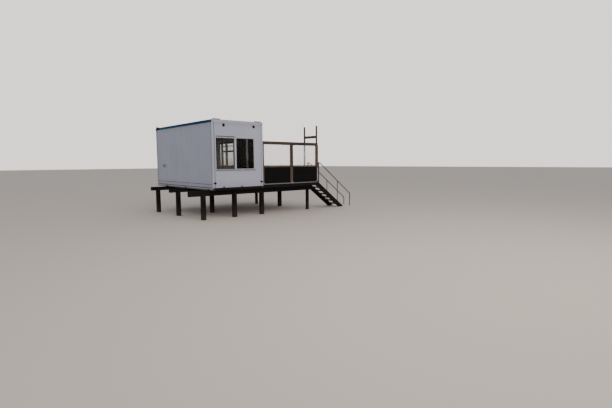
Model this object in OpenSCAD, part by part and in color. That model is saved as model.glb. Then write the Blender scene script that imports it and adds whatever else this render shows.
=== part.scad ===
// Beach lifeguard post: a steel-framed cabin on tarred timber piles, with a raised deck,
// a glazed wind screen, a portal at the stair head and an open-riser timber stair.
// Millimetres, Z up. X runs along the window end towards the stair, Y along the blank side.

/* [Cabin] */
// Width of the cabin across its window end
cabin_w = 2230; // [2150:10:2800]
// Length of the cabin along its blank side
cabin_l = 5090; // [4800:10:6500]
// Height of the cabin from the underside of its base frame to the top of its roof
cabin_h = 2565; // [2500:5:3000]
// Thickness of the insulated wall panels
wall_t = 70; // [50:5:90]
// How far the wall panels lie behind the faces of the corner posts
panel_recess = 10; // [4:1:20]
// Height of the base frame channels
base_rail_h = 86; // [80:2:140]
// Height of the roof frame channels
roof_rail_h = 100; // [80:5:110]
// Steel thickness of the channels and corner posts
steel_t = 5; // [3:1:8]
// Thickness of the insulated floor panel
floor_t = 124; // [80:2:130]
// Thickness of the insulated roof panel
roof_t = 60; // [40:5:65]
// How far the end channels of the base lie behind the ends of the cabin
base_end_setback = 15; // [5:1:30]
// How far the tops of the roof's end channels lie above its side channels
end_rail_rise = 5; // [0:1:30]
// Radius of the outer edges of the corner posts and of the roof's side channels
edge_r = 16; // [8:1:25]
// Length of the lifting pads on the roof's end channels
pad_l = 280; // [150:10:400]
// Thickness of the lifting pads
pad_t = 28; // [20:1:60]
// Number of joints between the panels of each long side
seam_n = 4; // [2:1:6]
// Width of a joint between two panels
seam_w = 8; // [4:1:12]
// Depth of a joint between two panels
seam_d = 4; // [2:1:6]
// Height of the ribs of the roof sheet
rib_h = 18; // [10:1:22]
// Distance between the ribs of the roof sheet
rib_pitch = 250; // [200:10:350]
// Width of a rib at its top
rib_top = 40; // [30:5:60]
// Width of a rib at its foot
rib_foot = 76; // [65:1:90]
// Number of bearers under the floor
bearer_n = 7; // [5:1:10]
// Width of a floor bearer
bearer_b = 60; // [40:5:90]

/* [Front window] */
// Distance from the cabin's left face to the window opening
front_win_x = 130; // [120:5:240]
// Width of the window opening
front_win_w = 1734; // [1300:2:1760]
// Height of the window opening
front_win_h = 1234; // [900:2:1400]
// Height of the opening's lower edge above the underside of the cabin
front_win_z = 736; // [500:2:900]
// Distance from the opening's left edge to the outer sash
front_sash_x = 815; // [600:5:900]
// How far the inner sash reaches behind the outer one
sash_lap = 44; // [20:1:60]
// Face width of the window frames
frame_b = 22; // [18:1:40]
// Depth of the outer window frames
frame_d = 95; // [85:1:110]
// How far the window frames stand out of the wall panels
frame_proud = 14; // [6:1:25]
// Face width of the stiles where the two sashes meet
meeting_b = 74; // [50:1:90]
// Face width of the outer sash's other stile
end_stile_b = 42; // [22:1:60]
// Face width of the other sash stiles and of the sash rails
sash_b = 22; // [15:1:40]
// Thickness of the sashes
sash_t = 26; // [18:1:30]
// Gap between the outer and the inner sash
track_gap = 4; // [2:1:8]
// Thickness of the glass
glass_t = 6; // [4:1:10]
// Width of the lip of a frame that covers the edge of its opening
lip_b = 28; // [8:1:35]
// Thickness of that lip
lip_t = 7; // [4:1:10]
// Height of the drip sill's folded edge under the front window
sill_h = 20; // [14:1:40]
// How far the drip sill stands out of the wall panel
sill_proud = 40; // [30:1:60]

/* [Deck side of the cabin] */
// Distance from the window end to the deck window's opening
side_win_y = 2000; // [1700:10:2400]
// Width of the deck window's opening
side_win_w = 1330; // [1250:10:1700]
// Height of the deck window's opening
side_win_h = 1190; // [900:10:1300]
// Height of that opening's lower edge above the underside of the cabin
side_win_z = 760; // [600:10:900]
// Distance from the opening's near edge to the middle of the first mullion
side_mullion_y1 = 690; // [500:10:800]
// Distance from the opening's near edge to the middle of the second mullion
side_mullion_y2 = 1070; // [950:10:1120]
// Face width of the mullions
mullion_b = 46; // [30:1:70]
// Face width of the glazing bars in the first two lights
glazing_bar_b = 30; // [18:1:40]
// Height of the glazing bars above the opening's lower edge
glazing_bar_z = 750; // [500:10:900]
// Distance from the window end to the door opening
door_y = 200; // [120:5:300]
// Width of the door opening
door_w = 900; // [800:10:1050]
// Height of the wall panel above the door opening
door_head = 235; // [140:5:340]
// Face width of the door frame
door_frame_b = 50; // [40:1:70]
// Width of the stop that the door closes against
door_stop_b = 14; // [10:1:20]
// Height of the door's threshold
threshold_h = 22; // [15:1:35]
// Thickness of the door leaf
leaf_t = 44; // [35:1:50]
// Gap between the door leaf and its frame
leaf_gap = 4; // [2:1:6]
// Height of the door handle above the deck
handle_z = 1050; // [950:10:1100]
// Distance of the door handle from the leaf's free edge
handle_inset = 65; // [50:5:80]
// Length of the door handle's lever
lever_l = 125; // [100:5:140]
// Diameter of the door handle's lever and of the hinges
lever_d = 18; // [14:1:20]
// How far the middle of the lever stands off the leaf
lever_reach = 45; // [35:1:50]
// Diameter of the rose behind the door handle
rose_d = 52; // [40:1:60]
// Thickness of the rose
rose_t = 8; // [4:1:10]
// Length of the door's hinges
hinge_h = 100; // [70:5:130]
// Distance of the outer hinges from the ends of the leaf
hinge_inset = 220; // [150:10:300]

/* [Wall fittings] */
// Width of the two hooded vents over the front window
vent_w = 90; // [60:5:130]
// How far the vents stand out of the wall panel
vent_proud = 30; // [15:1:38]
// Thickness of a vent's hood at its tip
vent_tip = 10; // [6:1:12]
// Distance of the left vent from the cabin's left face
vent_x1 = 495; // [300:5:700]
// Distance of the right vent from the cabin's deck side
vent_x2 = 420; // [300:5:700]
// Depth of the vents' middles below the top of the cabin
vent_drop = 185; // [170:5:240]
// Length of the oval lashing sockets near the foot of the front wall
socket_l = 110; // [80:5:130]
// Height of the lashing sockets
socket_h = 64; // [40:2:76]
// Width of the steel round a socket's mouth
socket_rim = 12; // [8:1:16]
// How far the sockets stand out
socket_proud = 12; // [6:1:20]
// Height of the sockets' middles above the underside of the cabin
socket_z = 265; // [200:5:350]
// Distance of each socket from its side of the cabin
socket_x = 87; // [84:1:200]
// Height of the lashing lugs on the back corners of the roof
lug_h = 85; // [50:5:100]
// Width of the lashing lugs
lug_w = 50; // [40:2:60]
// Thickness of the lashing lugs
lug_t = 12; // [8:1:16]
// Diameter of the lashing lugs' holes
lug_hole = 24; // [16:1:26]
// Width of the louvred grille on the blank side
grille_w = 350; // [200:10:400]
// Height of the louvred grille
grille_h = 160; // [120:10:300]
// Thickness of the grille
grille_t = 14; // [10:1:20]
// Number of slots in the grille
slot_n = 5; // [3:1:7]
// Distance of the grille's middle from the cabin's back end
grille_inset = 810; // [300:10:1500]
// Height of the grille's middle above the underside of the cabin
grille_z = 900; // [600:10:1400]

/* [Piles and beams] */
// Height of the middle and back piles above the ground
pile_h = 940; // [700:10:1600]
// Side of the square piles under the cabin
pile_b = 145; // [110:5:200]
// Side of the thinner square posts under the deck
deck_post_b = 95; // [80:5:140]
// Distance of the front deck post's middle from the deck's outer end
front_post_inset = 311; // [200:1:600]
// Distance of the middle deck post's middle from the deck's outer end
middle_post_inset = 420; // [200:1:600]
// Distance of the back deck post's middle from the deck's outer end
back_post_inset = 524; // [200:1:600]
// Height of the middle and back cap beams
beam_h = 150; // [120:5:240]
// Height of the front cap beam, whose piles are shorter by the difference
front_beam_h = 205; // [120:5:260]
// Width of the cap beams
beam_b = 145; // [110:5:200]
// How far the front cap beam reaches out beyond the blank side
front_beam_reach = 790; // [500:5:900]
// How far the middle cap beam reaches out beyond the blank side
middle_beam_reach = 680; // [500:5:900]
// How far the back cap beam reaches out beyond the blank side
back_beam_reach = 705; // [500:5:900]
// How far the cap beams end short of the deck's outer end
beam_short = 60; // [40:5:120]
// Distance of the front pile row from the window end
row_front_y = 370; // [250:10:500]
// Distance of the middle pile row from the window end
row_middle_y = 2250; // [1800:10:2600]
// Distance of the back pile row from the cabin's back end
row_back_inset = 1040; // [750:10:1300]

/* [Deck] */
// Length of the deck beside the cabin
deck_l = 2965; // [2600:5:3600]
// Thickness of the deck planks
plank_t = 45; // [30:1:60]
// Least width of a deck plank
plank_b = 140; // [90:5:200]
// Gap between two deck planks
plank_gap = 5; // [3:1:10]
// Width of the deck joists
joist_b = 60; // [45:5:80]
// Number of deck joists
joist_n = 6; // [5:1:8]
// Thickness of the rim boards
rim_t = 30; // [20:1:45]
// Height of the light strip along the front edge of the deck
strip_h = 80; // [50:1:90]
// Thickness of that strip
strip_t = 18; // [10:1:25]
// Gap between the rim boards at the deck's outer corners
rim_gap = 2; // [0:1:5]

/* [Wind screen and parapet] */
// Side of the square screen posts
post_w = 88; // [70:1:100]
// Width of the battens on the cabin's wall
batten_w = 50; // [35:1:70]
// Height of the wind screen above the deck
screen_h = 1645; // [1400:5:2000]
// Height of the top rail's section
top_rail_h = 115; // [70:5:120]
// Height of the lower rails' section
low_rail_h = 53; // [45:1:110]
// Height of the lower rails' top above the deck
parapet_h = 663; // [600:1:1000]
// Distance from the cabin to the middle posts of the front and back edges
mid_post_x = 1482; // [1200:2:1700]
// Distance from the window end to the middle post of the stair side
mid_post_y = 2950; // [2500:10:3400]
// Thickness of the black lower boards
board_t = 18; // [12:1:25]
// How far the black boards lie behind the posts' outer faces
board_setback = 12; // [5:1:30]
// Thickness of the clear upper panes
pane_t = 6; // [4:1:10]
// How far the panes reach into the grooves of the posts and rails
pane_seat = 10; // [6:1:15]
// Room round a pane in its grooves
pane_room = 0.5; // [0.3:0.1:0.8]
// Chamfer along the top edges of the rails
rail_chamfer = 9; // [4:1:15]

/* [Portal] */
// Side of the square portal posts
portal_b = 55; // [45:1:70]
// Height of the portal posts above the deck
portal_h = 2395; // [2200:5:2600]
// Distance between the middles of the portal posts
portal_w = 800; // [760:10:950]
// Height of the underside of the crossbar above the deck
crossbar_z = 1865; // [1800:5:2050]
// Height of the crossbar's section
crossbar_h = 110; // [50:5:130]

/* [Stair] */
// Number of risers from the ground to the deck
riser_n = 8; // [7:1:9]
// Going of each step
going = 219; // [200:1:250]
// Depth of the treads
tread_d = 235; // [220:1:240]
// Thickness of the treads
tread_t = 40; // [30:1:45]
// Width of the stringer planks
string_w = 200; // [190:5:240]
// Thickness of the stringer planks
string_t = 45; // [38:1:60]
// Height of the stringers' upper edge over the nosings, measured upright
string_margin = 0; // [0:1:30]
// Depth of the stringers' level top below the deck surface
string_drop = 126; // [110:2:140]
// Depth of the housings in the stringers that hold the treads
housing = 12; // [8:1:20]

/* [Handrails] */
// Outer diameter of the handrail tube
rail_d = 42; // [34:1:50]
// Diameter of the middle uprights
upright_d = 36; // [26:1:40]
// Height of the handrail over the stringers' upper edge, measured upright
rail_rise = 940; // [850:5:1000]
// Radius of the handrail's bends, to the middle of the tube
bend_r = 90; // [60:5:120]
// Thickness of the elbows round the tube
elbow_t = 1.5; // [1:0.5:4]
// Length of tube inside each end of an elbow
elbow_lap = 6; // [4:1:10]
// Height of the handrail's level start above the deck
rail_top = 770; // [700:10:800]
// Distance from the deck to the middle uprights
upright_x = 1415; // [1200:5:1500]
// Distance from the deck to the near handrail's end upright
near_end_x = 2275; // [2100:5:2400]
// Distance from the deck to the far handrail's end upright
far_end_x = 2615; // [2450:5:2800]
// Side of the square newels at the stair head
newel_b = 50; // [40:1:60]
// Distance of the newels from the corner where the stringers begin to fall
newel_gap = 3; // [0:1:20]
// Height of the newels above the deck
newel_h = 805; // [800:5:900]
// Diameter of the flanges that hold the handrails to the newels
flange_d = 50; // [46:1:50]
// Thickness of the flanges
flange_t = 6; // [4:1:10]

/* [Hidden] */
$fn = 48;

// Heights
beam_top = pile_h + beam_h;
panel_bottom = beam_top + base_rail_h;
deck_top = panel_bottom + floor_t;
roof_top = beam_top + cabin_h;
panel_top = roof_top - roof_rail_h;
door_h = panel_top - deck_top - door_head;
front_pile_h = beam_top - front_beam_h;

// Plan
corner_b = wall_t + panel_recess;
deck_end = cabin_w + deck_l;
row_back_y = cabin_l - row_back_inset;
grille_y = cabin_l - grille_inset;

// Stair: the nosings fall from the outer face of the portal posts
nosing_x = deck_end + portal_b;
rise = deck_top / riser_n;
slope = atan(rise / going);
fall = rise / going;
string_h = string_w / cos(slope);
portal_y1 = post_w;
portal_y2 = post_w + portal_w;
stair_y1 = portal_y1 + portal_b;
stair_y2 = portal_y2;

// The origin stands on the ground under the middle of the whole object's box
front_reach = max(sill_proud, vent_proud) - panel_recess;
rail_reach = deck_end + far_end_x + rail_d / 2 + elbow_t;
mid_x = (rail_reach - max(front_beam_reach, middle_beam_reach, back_beam_reach)) / 2;
mid_y = (cabin_l - front_reach) / 2;

// Piles under the cabin, as they stand in each row
front_pile_x = [-222, 1101, cabin_w + 156];
middle_pile_x = [-330, 1156, cabin_w + 25];
back_pile_x = [-420, cabin_w - 97];

white = "#a3a5ae";
blue = "#2f5d7c";
tar = "#1b1a1a";
timber = "#6d5044";
steel = "#3c3634";
light_strip = "#9a9aa0";
dark_steel = "#26262a";

module site() {
    translate([-mid_x, -mid_y, 0]) children();
}

// Box between two corners
module block(low, high) {
    translate(low) cube(high - low);
}

// Outline extruded along Y: its x stays x, its y becomes height
module along_y(length) {
    translate([0, length, 0]) rotate([90, 0, 0]) linear_extrude(length) children();
}

// Outline extruded along X: its x becomes Y, its y becomes height
module along_x(length) {
    rotate([90, 0, 90]) linear_extrude(length) children();
}

// Both long sides, or both ends, of the cabin
module both_sides() {
    children();
    translate([cabin_w, 0, 0]) mirror([1, 0, 0]) children();
}

module both_ends() {
    children();
    translate([0, cabin_l, 0]) mirror([0, 1, 0]) children();
}

// Deck side of the cabin: x runs along the wall, y runs inwards from the posts' outer faces
module on_deck_side() {
    translate([cabin_w, 0, 0]) rotate([0, 0, 90]) children();
}

// Channel section, open towards +x
module channel_outline(width, height) {
    difference() {
        square([width, height]);
        translate([steel_t, steel_t]) square([width, height - 2 * steel_t]);
    }
}

// Rectangle with a round corner at its upper left
module round_outline(width, height, r) {
    translate([r, height - r]) circle(r);
    translate([r, 0]) square([width - r, height]);
    square([width, height - r]);
}

// Ring in the plane of a wall: x along the wall, y inwards, z up
module ring(size, depth, width) {
    difference() {
        cube([size[0], depth, size[1]]);
        translate([width, -1, width]) cube([size[0] - 2 * width, depth + 2, size[1] - 2 * width]);
    }
}

// Piles and beams
module pile(x, row_y, side, height) {
    translate([x - side / 2, row_y - side / 2, 0]) cube([side, side, height]);
}

module pile_row(stations, row_y, height) {
    color(tar) site() for (x = stations) pile(x, row_y, pile_b, height);
}

module pile_row_front() { pile_row(front_pile_x, row_front_y, front_pile_h); }
module pile_row_middle() { pile_row(middle_pile_x, row_middle_y, pile_h); }
module pile_row_back() { pile_row(back_pile_x, row_back_y, pile_h); }

// The middle post is as thick as a pile
module deck_posts() {
    color(tar) site() {
        pile(deck_end - front_post_inset, row_front_y, deck_post_b, front_pile_h);
        pile(deck_end - middle_post_inset, row_middle_y, pile_b, pile_h);
        pile(deck_end - back_post_inset, row_back_y, deck_post_b, pile_h);
    }
}

module cap_beam(row_y, reach, low) {
    color(tar) site()
        block([-reach, row_y - beam_b / 2, low], [deck_end - beam_short, row_y + beam_b / 2, beam_top]);
}

module cap_beam_front() { cap_beam(row_front_y, front_beam_reach, front_pile_h); }
module cap_beam_middle() { cap_beam(row_middle_y, middle_beam_reach, pile_h); }
module cap_beam_back() { cap_beam(row_back_y, back_beam_reach, pile_h); }

// Cabin frame: the side channels are closed at both ends, and the end channels stand between them
module base_side_rail() {
    difference() {
        cube([corner_b, cabin_l, base_rail_h]);
        translate([steel_t, steel_t, steel_t])
            cube([corner_b, cabin_l - 2 * steel_t, base_rail_h - 2 * steel_t]);
    }
}

module roof_side_rail() {
    difference() {
        along_y(cabin_l) round_outline(corner_b, roof_rail_h, edge_r);
        translate([steel_t, steel_t, steel_t])
            along_y(cabin_l - 2 * steel_t)
                round_outline(corner_b, roof_rail_h - 2 * steel_t, edge_r - steel_t);
    }
}

module end_rail(height, setback) {
    translate([corner_b, setback, 0])
        along_x(cabin_w - 2 * corner_b) channel_outline(corner_b - setback, height);
}

module base_side_rails() {
    color(white) site() translate([0, 0, beam_top]) both_sides() base_side_rail();
}

module base_end_rails() {
    color(dark_steel) site() translate([0, 0, beam_top]) both_ends() end_rail(base_rail_h, base_end_setback);
}

module floor_bearers() {
    first = corner_b + bearer_b;
    pitch = (cabin_l - 2 * first - bearer_b) / (bearer_n - 1);
    color(dark_steel) site()
        for (i = [0 : bearer_n - 1])
            translate([corner_b, first + i * pitch, beam_top])
                cube([cabin_w - 2 * corner_b, bearer_b, base_rail_h]);
}

module cabin_floor() {
    color(timber) site()
        block([corner_b, corner_b, panel_bottom], [cabin_w - corner_b, cabin_l - corner_b, deck_top]);
}

module corner_posts() {
    color(white) site() translate([0, 0, panel_bottom]) both_sides() both_ends()
        linear_extrude(panel_top - panel_bottom) difference() {
            translate([0, corner_b]) mirror([0, 1]) round_outline(corner_b, corner_b, edge_r);
            translate([steel_t, steel_t]) square(corner_b - 2 * steel_t);
        }
}

module roof_side_rails() {
    color(blue) site() translate([0, 0, panel_top]) both_sides() roof_side_rail();
}

// The roof's end channels carry the lifting pads
module roof_end_rails() {
    height = roof_rail_h + end_rail_rise;
    color(white) site() translate([0, 0, panel_top]) both_ends() {
        end_rail(height, 0);
        both_sides() translate([corner_b, 0, height]) cube([pad_l, corner_b, pad_t]);
    }
}

// The roof panel lies on the lower flanges of the roof channels, and its ribs run across
roof_inset = 2 * steel_t;
roof_l = cabin_l - 2 * roof_inset;
roof_base = roof_t - rib_h;
rib_n = floor((roof_l - corner_b) / rib_pitch);
rib_first = (roof_l - (rib_n - 1) * rib_pitch) / 2;

function rib(y) = [
    [y - rib_foot / 2, roof_base],
    [y - rib_top / 2, roof_t],
    [y + rib_top / 2, roof_t],
    [y + rib_foot / 2, roof_base]
];

module roof_outline() {
    polygon(concat(
        [[0, 0], [0, roof_base]],
        [for (i = [0 : rib_n - 1]) each rib(rib_first + i * rib_pitch)],
        [[roof_l, roof_base], [roof_l, 0]]
    ));
}

module roof_panel() {
    color(white) site() translate([roof_inset, roof_inset, panel_top + steel_t])
        along_x(cabin_w - 2 * roof_inset) roof_outline();
}

// Wall panels
module end_panel() {
    block([corner_b, panel_recess, panel_bottom], [cabin_w - corner_b, corner_b, panel_top]);
}

// A long side is made of panels with open joints between their outer sheets
module side_panel() {
    pitch = (cabin_l - 2 * corner_b) / (seam_n + 1);
    difference() {
        block([panel_recess, corner_b, panel_bottom], [corner_b, cabin_l - corner_b, panel_top]);
        for (i = [1 : seam_n])
            translate([panel_recess - 1, corner_b + i * pitch - seam_w / 2, panel_bottom - 1])
                cube([seam_d + 1, seam_w, panel_top - panel_bottom + 2]);
    }
}

module left_wall() {
    color(white) site() side_panel();
}

module back_wall() {
    color(white) site() translate([0, cabin_l, 0]) mirror([0, 1, 0]) end_panel();
}

module front_wall() {
    color(white) site() difference() {
        end_panel();
        translate([front_win_x, 0, beam_top + front_win_z])
            cube([front_win_w, 2 * corner_b, front_win_h]);
    }
}

module right_wall() {
    color(white) site() difference() {
        translate([cabin_w, 0, 0]) mirror([1, 0, 0]) side_panel();
        on_deck_side() {
            translate([side_win_y, 0, beam_top + side_win_z]) cube([side_win_w, 2 * corner_b, side_win_h]);
            translate([door_y, 0, deck_top]) cube([door_w, 2 * corner_b, door_h]);
        }
    }
}

// Windows: the frame stands in the opening, the sashes stand in the frame
frame_y = panel_recess - frame_proud;
outer_sash_y = panel_recess;
inner_sash_y = outer_sash_y + sash_t + track_gap;

// Outer frame with a lip over the edge of the wall's sheet
module window_frame(width, height) {
    translate([0, frame_y, 0]) ring([width, height], frame_d, frame_b);
    translate([-lip_b, panel_recess - lip_t, -lip_b])
        ring([width + 2 * lip_b, height + 2 * lip_b], lip_t, lip_b + frame_b / 2);
}

// Sash with a left and a right stile of their own widths
module sash(size, left, right) {
    difference() {
        cube([size[0], sash_t, size[1]]);
        translate([left, -1, sash_b]) cube([size[0] - left - right, sash_t + 2, size[1] - 2 * sash_b]);
    }
}

// The glass that fills such a sash
module sash_glass(size, left, right) {
    translate([left, (sash_t - glass_t) / 2, sash_b])
        cube([size[0] - left - right, glass_t, size[1] - 2 * sash_b]);
}

// Section of the folded drip sill: its x runs inwards, its y is height
module sill_outline() {
    top = frame_b - steel_t;
    nose = panel_recess - sill_proud;
    polygon([
        [frame_y + steel_t, top],
        [nose, top - steel_t],
        [nose, top - sill_h],
        [nose + steel_t, top - sill_h],
        [nose + steel_t, top - 2 * steel_t],
        [frame_y + steel_t, top - steel_t]
    ]);
}

// The inner sash stands on the left, and the outer one on the right laps over it
inner_sash = [front_sash_x + sash_lap - frame_b, front_win_h - 2 * frame_b];
outer_sash = [front_win_w - front_sash_x - frame_b, front_win_h - 2 * frame_b];

module in_front_window() {
    site() translate([front_win_x, 0, beam_top + front_win_z]) children();
}

module front_window_frame() {
    color(white) in_front_window() {
        window_frame(front_win_w, front_win_h);
        along_x(front_win_w) sill_outline();
    }
}

module front_window_sashes() {
    color(white) in_front_window() {
        translate([frame_b, inner_sash_y, frame_b]) sash(inner_sash, sash_b, meeting_b);
        translate([front_sash_x, outer_sash_y, frame_b]) sash(outer_sash, meeting_b, end_stile_b);
    }
}

module front_window_glass() {
    color("lightblue", 0.4) in_front_window() {
        translate([frame_b, inner_sash_y, frame_b]) sash_glass(inner_sash, sash_b, meeting_b);
        translate([front_sash_x, outer_sash_y, frame_b]) sash_glass(outer_sash, meeting_b, end_stile_b);
    }
}

// The deck window has three lights: distance of each from the opening's near edge, and its size
side_light_h = side_win_h - 2 * frame_b;
side_lights = [
    [frame_b, [side_mullion_y1 - mullion_b / 2 - frame_b, side_light_h]],
    [side_mullion_y1 + mullion_b / 2, [side_mullion_y2 - side_mullion_y1 - mullion_b, side_light_h]],
    [side_mullion_y2 + mullion_b / 2, [side_win_w - side_mullion_y2 - mullion_b / 2 - frame_b, side_light_h]]
];

module in_deck_window() {
    site() on_deck_side() translate([side_win_y, 0, beam_top + side_win_z]) children();
}

// Glazing bar across a light, set into both of its stiles
module glazing_bar(light) {
    translate([sash_b / 2, 0, glazing_bar_z - frame_b]) cube([light[1][0] - sash_b, sash_t, glazing_bar_b]);
}

module deck_window_frame() {
    color(white) in_deck_window() {
        window_frame(side_win_w, side_win_h);
        for (y = [side_mullion_y1, side_mullion_y2])
            translate([y - mullion_b / 2, frame_y, frame_b / 2]) cube([mullion_b, frame_d, side_win_h - frame_b]);
    }
}

module deck_window_sashes() {
    color(white) in_deck_window()
        for (i = [0 : 2])
            translate([side_lights[i][0], outer_sash_y, frame_b]) {
                sash(side_lights[i][1], sash_b, sash_b);
                if (i < 2) glazing_bar(side_lights[i]);
            }
}

module deck_window_glass() {
    color("lightblue", 0.4) in_deck_window()
        for (i = [0 : 2])
            translate([side_lights[i][0], outer_sash_y, frame_b]) difference() {
                sash_glass(side_lights[i][1], sash_b, sash_b);
                if (i < 2) glazing_bar(side_lights[i]);
            }
}

// Door: the leaf is shut against the stop of its frame
leaf_y = panel_recess + leaf_gap;
leaf_w = door_w - 2 * (door_frame_b + leaf_gap);
leaf_z = deck_top + threshold_h + leaf_gap;
leaf_h = door_h - door_frame_b - threshold_h - 2 * leaf_gap;

// Box cut from front to back out of the door frame, from the threshold up
module door_cut(side, depth) {
    translate([side, -1, threshold_h]) cube([door_w - 2 * side, depth + 1, door_h - side - threshold_h]);
}

module hinge(z) {
    translate([door_frame_b + leaf_gap / 2, leaf_y - lever_d / 2 - frame_y, z]) cylinder(d = lever_d, h = hinge_h);
}

module door_frame() {
    first = leaf_z - deck_top + hinge_inset;
    last = leaf_z - deck_top + leaf_h - hinge_inset - hinge_h;
    color(white) site() on_deck_side() translate([door_y, frame_y, deck_top]) {
        difference() {
            union() {
                cube([door_w, frame_d, door_h]);
                translate([-lip_b, frame_proud - lip_t, 0]) cube([door_w + 2 * lip_b, lip_t, door_h + lip_b]);
            }
            door_cut(door_frame_b, leaf_y + leaf_t - frame_y);
            door_cut(door_frame_b + door_stop_b, frame_d + 1);
        }
        for (z = [first, (first + last) / 2, last]) hinge(z);
    }
}

// Lever handle that stands off a face of the leaf, towards -y
module lever() {
    rotate([90, 0, 0]) {
        cylinder(d = rose_d, h = rose_t);
        cylinder(d = lever_d, h = lever_reach);
        translate([0, 0, lever_reach]) sphere(d = lever_d);
    }
    translate([0, -lever_reach, 0]) rotate([0, -90, 0]) cylinder(d = lever_d, h = lever_l);
}

module door_leaf() {
    color(white) site() on_deck_side() translate([door_y + door_frame_b + leaf_gap, leaf_y, leaf_z]) {
        cube([leaf_w, leaf_t, leaf_h]);
        translate([leaf_w - handle_inset, 0, deck_top + handle_z - leaf_z]) {
            lever();
            translate([0, leaf_t, 0]) mirror([0, 1, 0]) lever();
        }
    }
}

// Wall fittings
module drop_outline(width) {
    circle(d = width);
    rotate(45) square(width / 2);
}

// Hood that leans out from its tip at the top, open at the bottom
module vent() {
    tip_z = vent_w * sqrt(2) / 2;
    lean = atan((vent_proud - vent_tip) / (tip_z + vent_w / 2));
    translate([0, panel_recess, roof_top - vent_drop]) rotate([90, 0, 0]) difference() {
        linear_extrude(vent_proud) drop_outline(vent_w);
        translate([-vent_w, tip_z, vent_tip]) rotate([-lean, 0, 0])
            translate([0, -2 * vent_w, 0]) cube([2 * vent_w, 3 * vent_w, vent_w]);
        translate([-vent_w / 4, -vent_w, vent_tip / 2]) cube([vent_w / 2, vent_w, vent_tip]);
    }
}

module front_vents() {
    color(dark_steel) site()
        for (x = [vent_x1, cabin_w - vent_x2]) translate([x, 0, 0]) vent();
}

module oval(length, height) {
    square([length - height, height], center = true);
    for (side = [-1, 1]) translate([side * (length - height) / 2, 0]) circle(d = height);
}

// Oval socket on the wall panel, cut back where it laps over the corner post
module socket() {
    depth = panel_recess + socket_proud;
    difference() {
        translate([socket_x, panel_recess, beam_top + socket_z]) rotate([90, 0, 0]) difference() {
            linear_extrude(depth) oval(socket_l, socket_h);
            translate([0, 0, depth / 2])
                linear_extrude(depth) oval(socket_l - 2 * socket_rim, socket_h - 2 * socket_rim);
        }
        cube([corner_b, panel_recess, roof_top]);
    }
}

// Lug with a round top and a hole for a shackle
module lashing_lug() {
    translate([steel_t, cabin_l - corner_b / 2, roof_top]) rotate([90, 0, 0]) linear_extrude(lug_t) difference() {
        union() {
            translate([edge_r, 0]) square([lug_w, lug_h - lug_w / 2]);
            translate([edge_r + lug_w / 2, lug_h - lug_w / 2]) circle(d = lug_w);
        }
        translate([edge_r + lug_w / 2, lug_h - lug_w / 2]) circle(d = lug_hole);
    }
}

module lashing_sockets() {
    color(dark_steel) site() both_sides() {
        socket();
        lashing_lug();
    }
}

module side_grille() {
    pitch = grille_h / (slot_n + 1);
    color(white) site() translate([panel_recess, grille_y + grille_w / 2, beam_top + grille_z - grille_h / 2])
        rotate([0, 0, -90]) translate([0, -grille_t, 0]) difference() {
            cube([grille_w, grille_t, grille_h]);
            for (i = [1 : slot_n])
                translate([pitch, -1, i * pitch - pitch / 4])
                    cube([grille_w - 2 * pitch, grille_t / 2 + 1, pitch / 2]);
        }
}

// Deck
module deck_joists() {
    pitch = (deck_l - rim_t - joist_b) / (joist_n - 1);
    color(tar) site()
        for (i = [0 : joist_n - 1])
            block([cabin_w + i * pitch, rim_t, beam_top],
                  [cabin_w + i * pitch + joist_b, cabin_l - rim_t, deck_top - plank_t]);
}

module deck_rim() {
    top = deck_top - plank_t;
    color(tar) site() {
        block([cabin_w, 0, beam_top], [deck_end, rim_t, top]);
        block([cabin_w, cabin_l - rim_t, beam_top], [deck_end, cabin_l, top]);
        block([deck_end - rim_t, rim_t + rim_gap, beam_top], [deck_end, cabin_l - rim_t - rim_gap, top]);
    }
}

module deck_planks() {
    plank_n = floor((cabin_l + plank_gap) / (plank_b + plank_gap));
    pitch = (cabin_l + plank_gap) / plank_n;
    color(timber) site()
        for (i = [0 : plank_n - 1])
            translate([cabin_w, i * pitch, deck_top - plank_t]) cube([deck_l, pitch - plank_gap, plank_t]);
}

module deck_edge_strip() {
    color(light_strip) site() block([cabin_w, -strip_t, deck_top - strip_h], [deck_end - post_w, 0, deck_top]);
}

// Wind screen along the front and parapet round the other open edges
low_rail_z = deck_top + parapet_h - low_rail_h;
top_rail_z = deck_top + screen_h - top_rail_h;
front_post_x = cabin_w + mid_post_x - post_w / 2;
side_post_y = mid_post_y - post_w / 2;
side_start_y = portal_y2 + portal_b;

module upright(x, y, width, top) {
    translate([x, y, deck_top]) cube([width, post_w, top - deck_top]);
}

// Pane between two posts, whose edges lie in grooves; with room, it is the cutter for the grooves
module pane(x1, x2, room) {
    y = (post_w - pane_t) / 2;
    seat = pane_seat + room;
    block([x1 - seat, y - room, low_rail_z + low_rail_h - seat],
          [x2 + seat, y + pane_t + room, top_rail_z + seat]);
}

module panes(room) {
    pane(cabin_w + batten_w, front_post_x, room);
    pane(front_post_x + post_w, deck_end - post_w, room);
}

// Section of a rail with chamfered top edges
module rail_outline(height) {
    polygon([
        [0, 0],
        [0, height - rail_chamfer],
        [rail_chamfer, height],
        [post_w - rail_chamfer, height],
        [post_w, height - rail_chamfer],
        [post_w, 0]
    ]);
}

module screen_posts() {
    color(timber) site() {
        difference() {
            union() {
                upright(cabin_w, 0, batten_w, top_rail_z);
                upright(front_post_x, 0, post_w, top_rail_z);
                upright(deck_end - post_w, 0, post_w, top_rail_z);
            }
            panes(pane_room);
        }
        upright(deck_end - post_w, side_start_y, post_w, low_rail_z);
        upright(deck_end - post_w, side_post_y, post_w, low_rail_z);
        upright(deck_end - post_w, cabin_l - post_w, post_w, low_rail_z);
        upright(front_post_x, cabin_l - post_w, post_w, low_rail_z);
        upright(cabin_w, cabin_l - post_w, batten_w, low_rail_z);
    }
}

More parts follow.
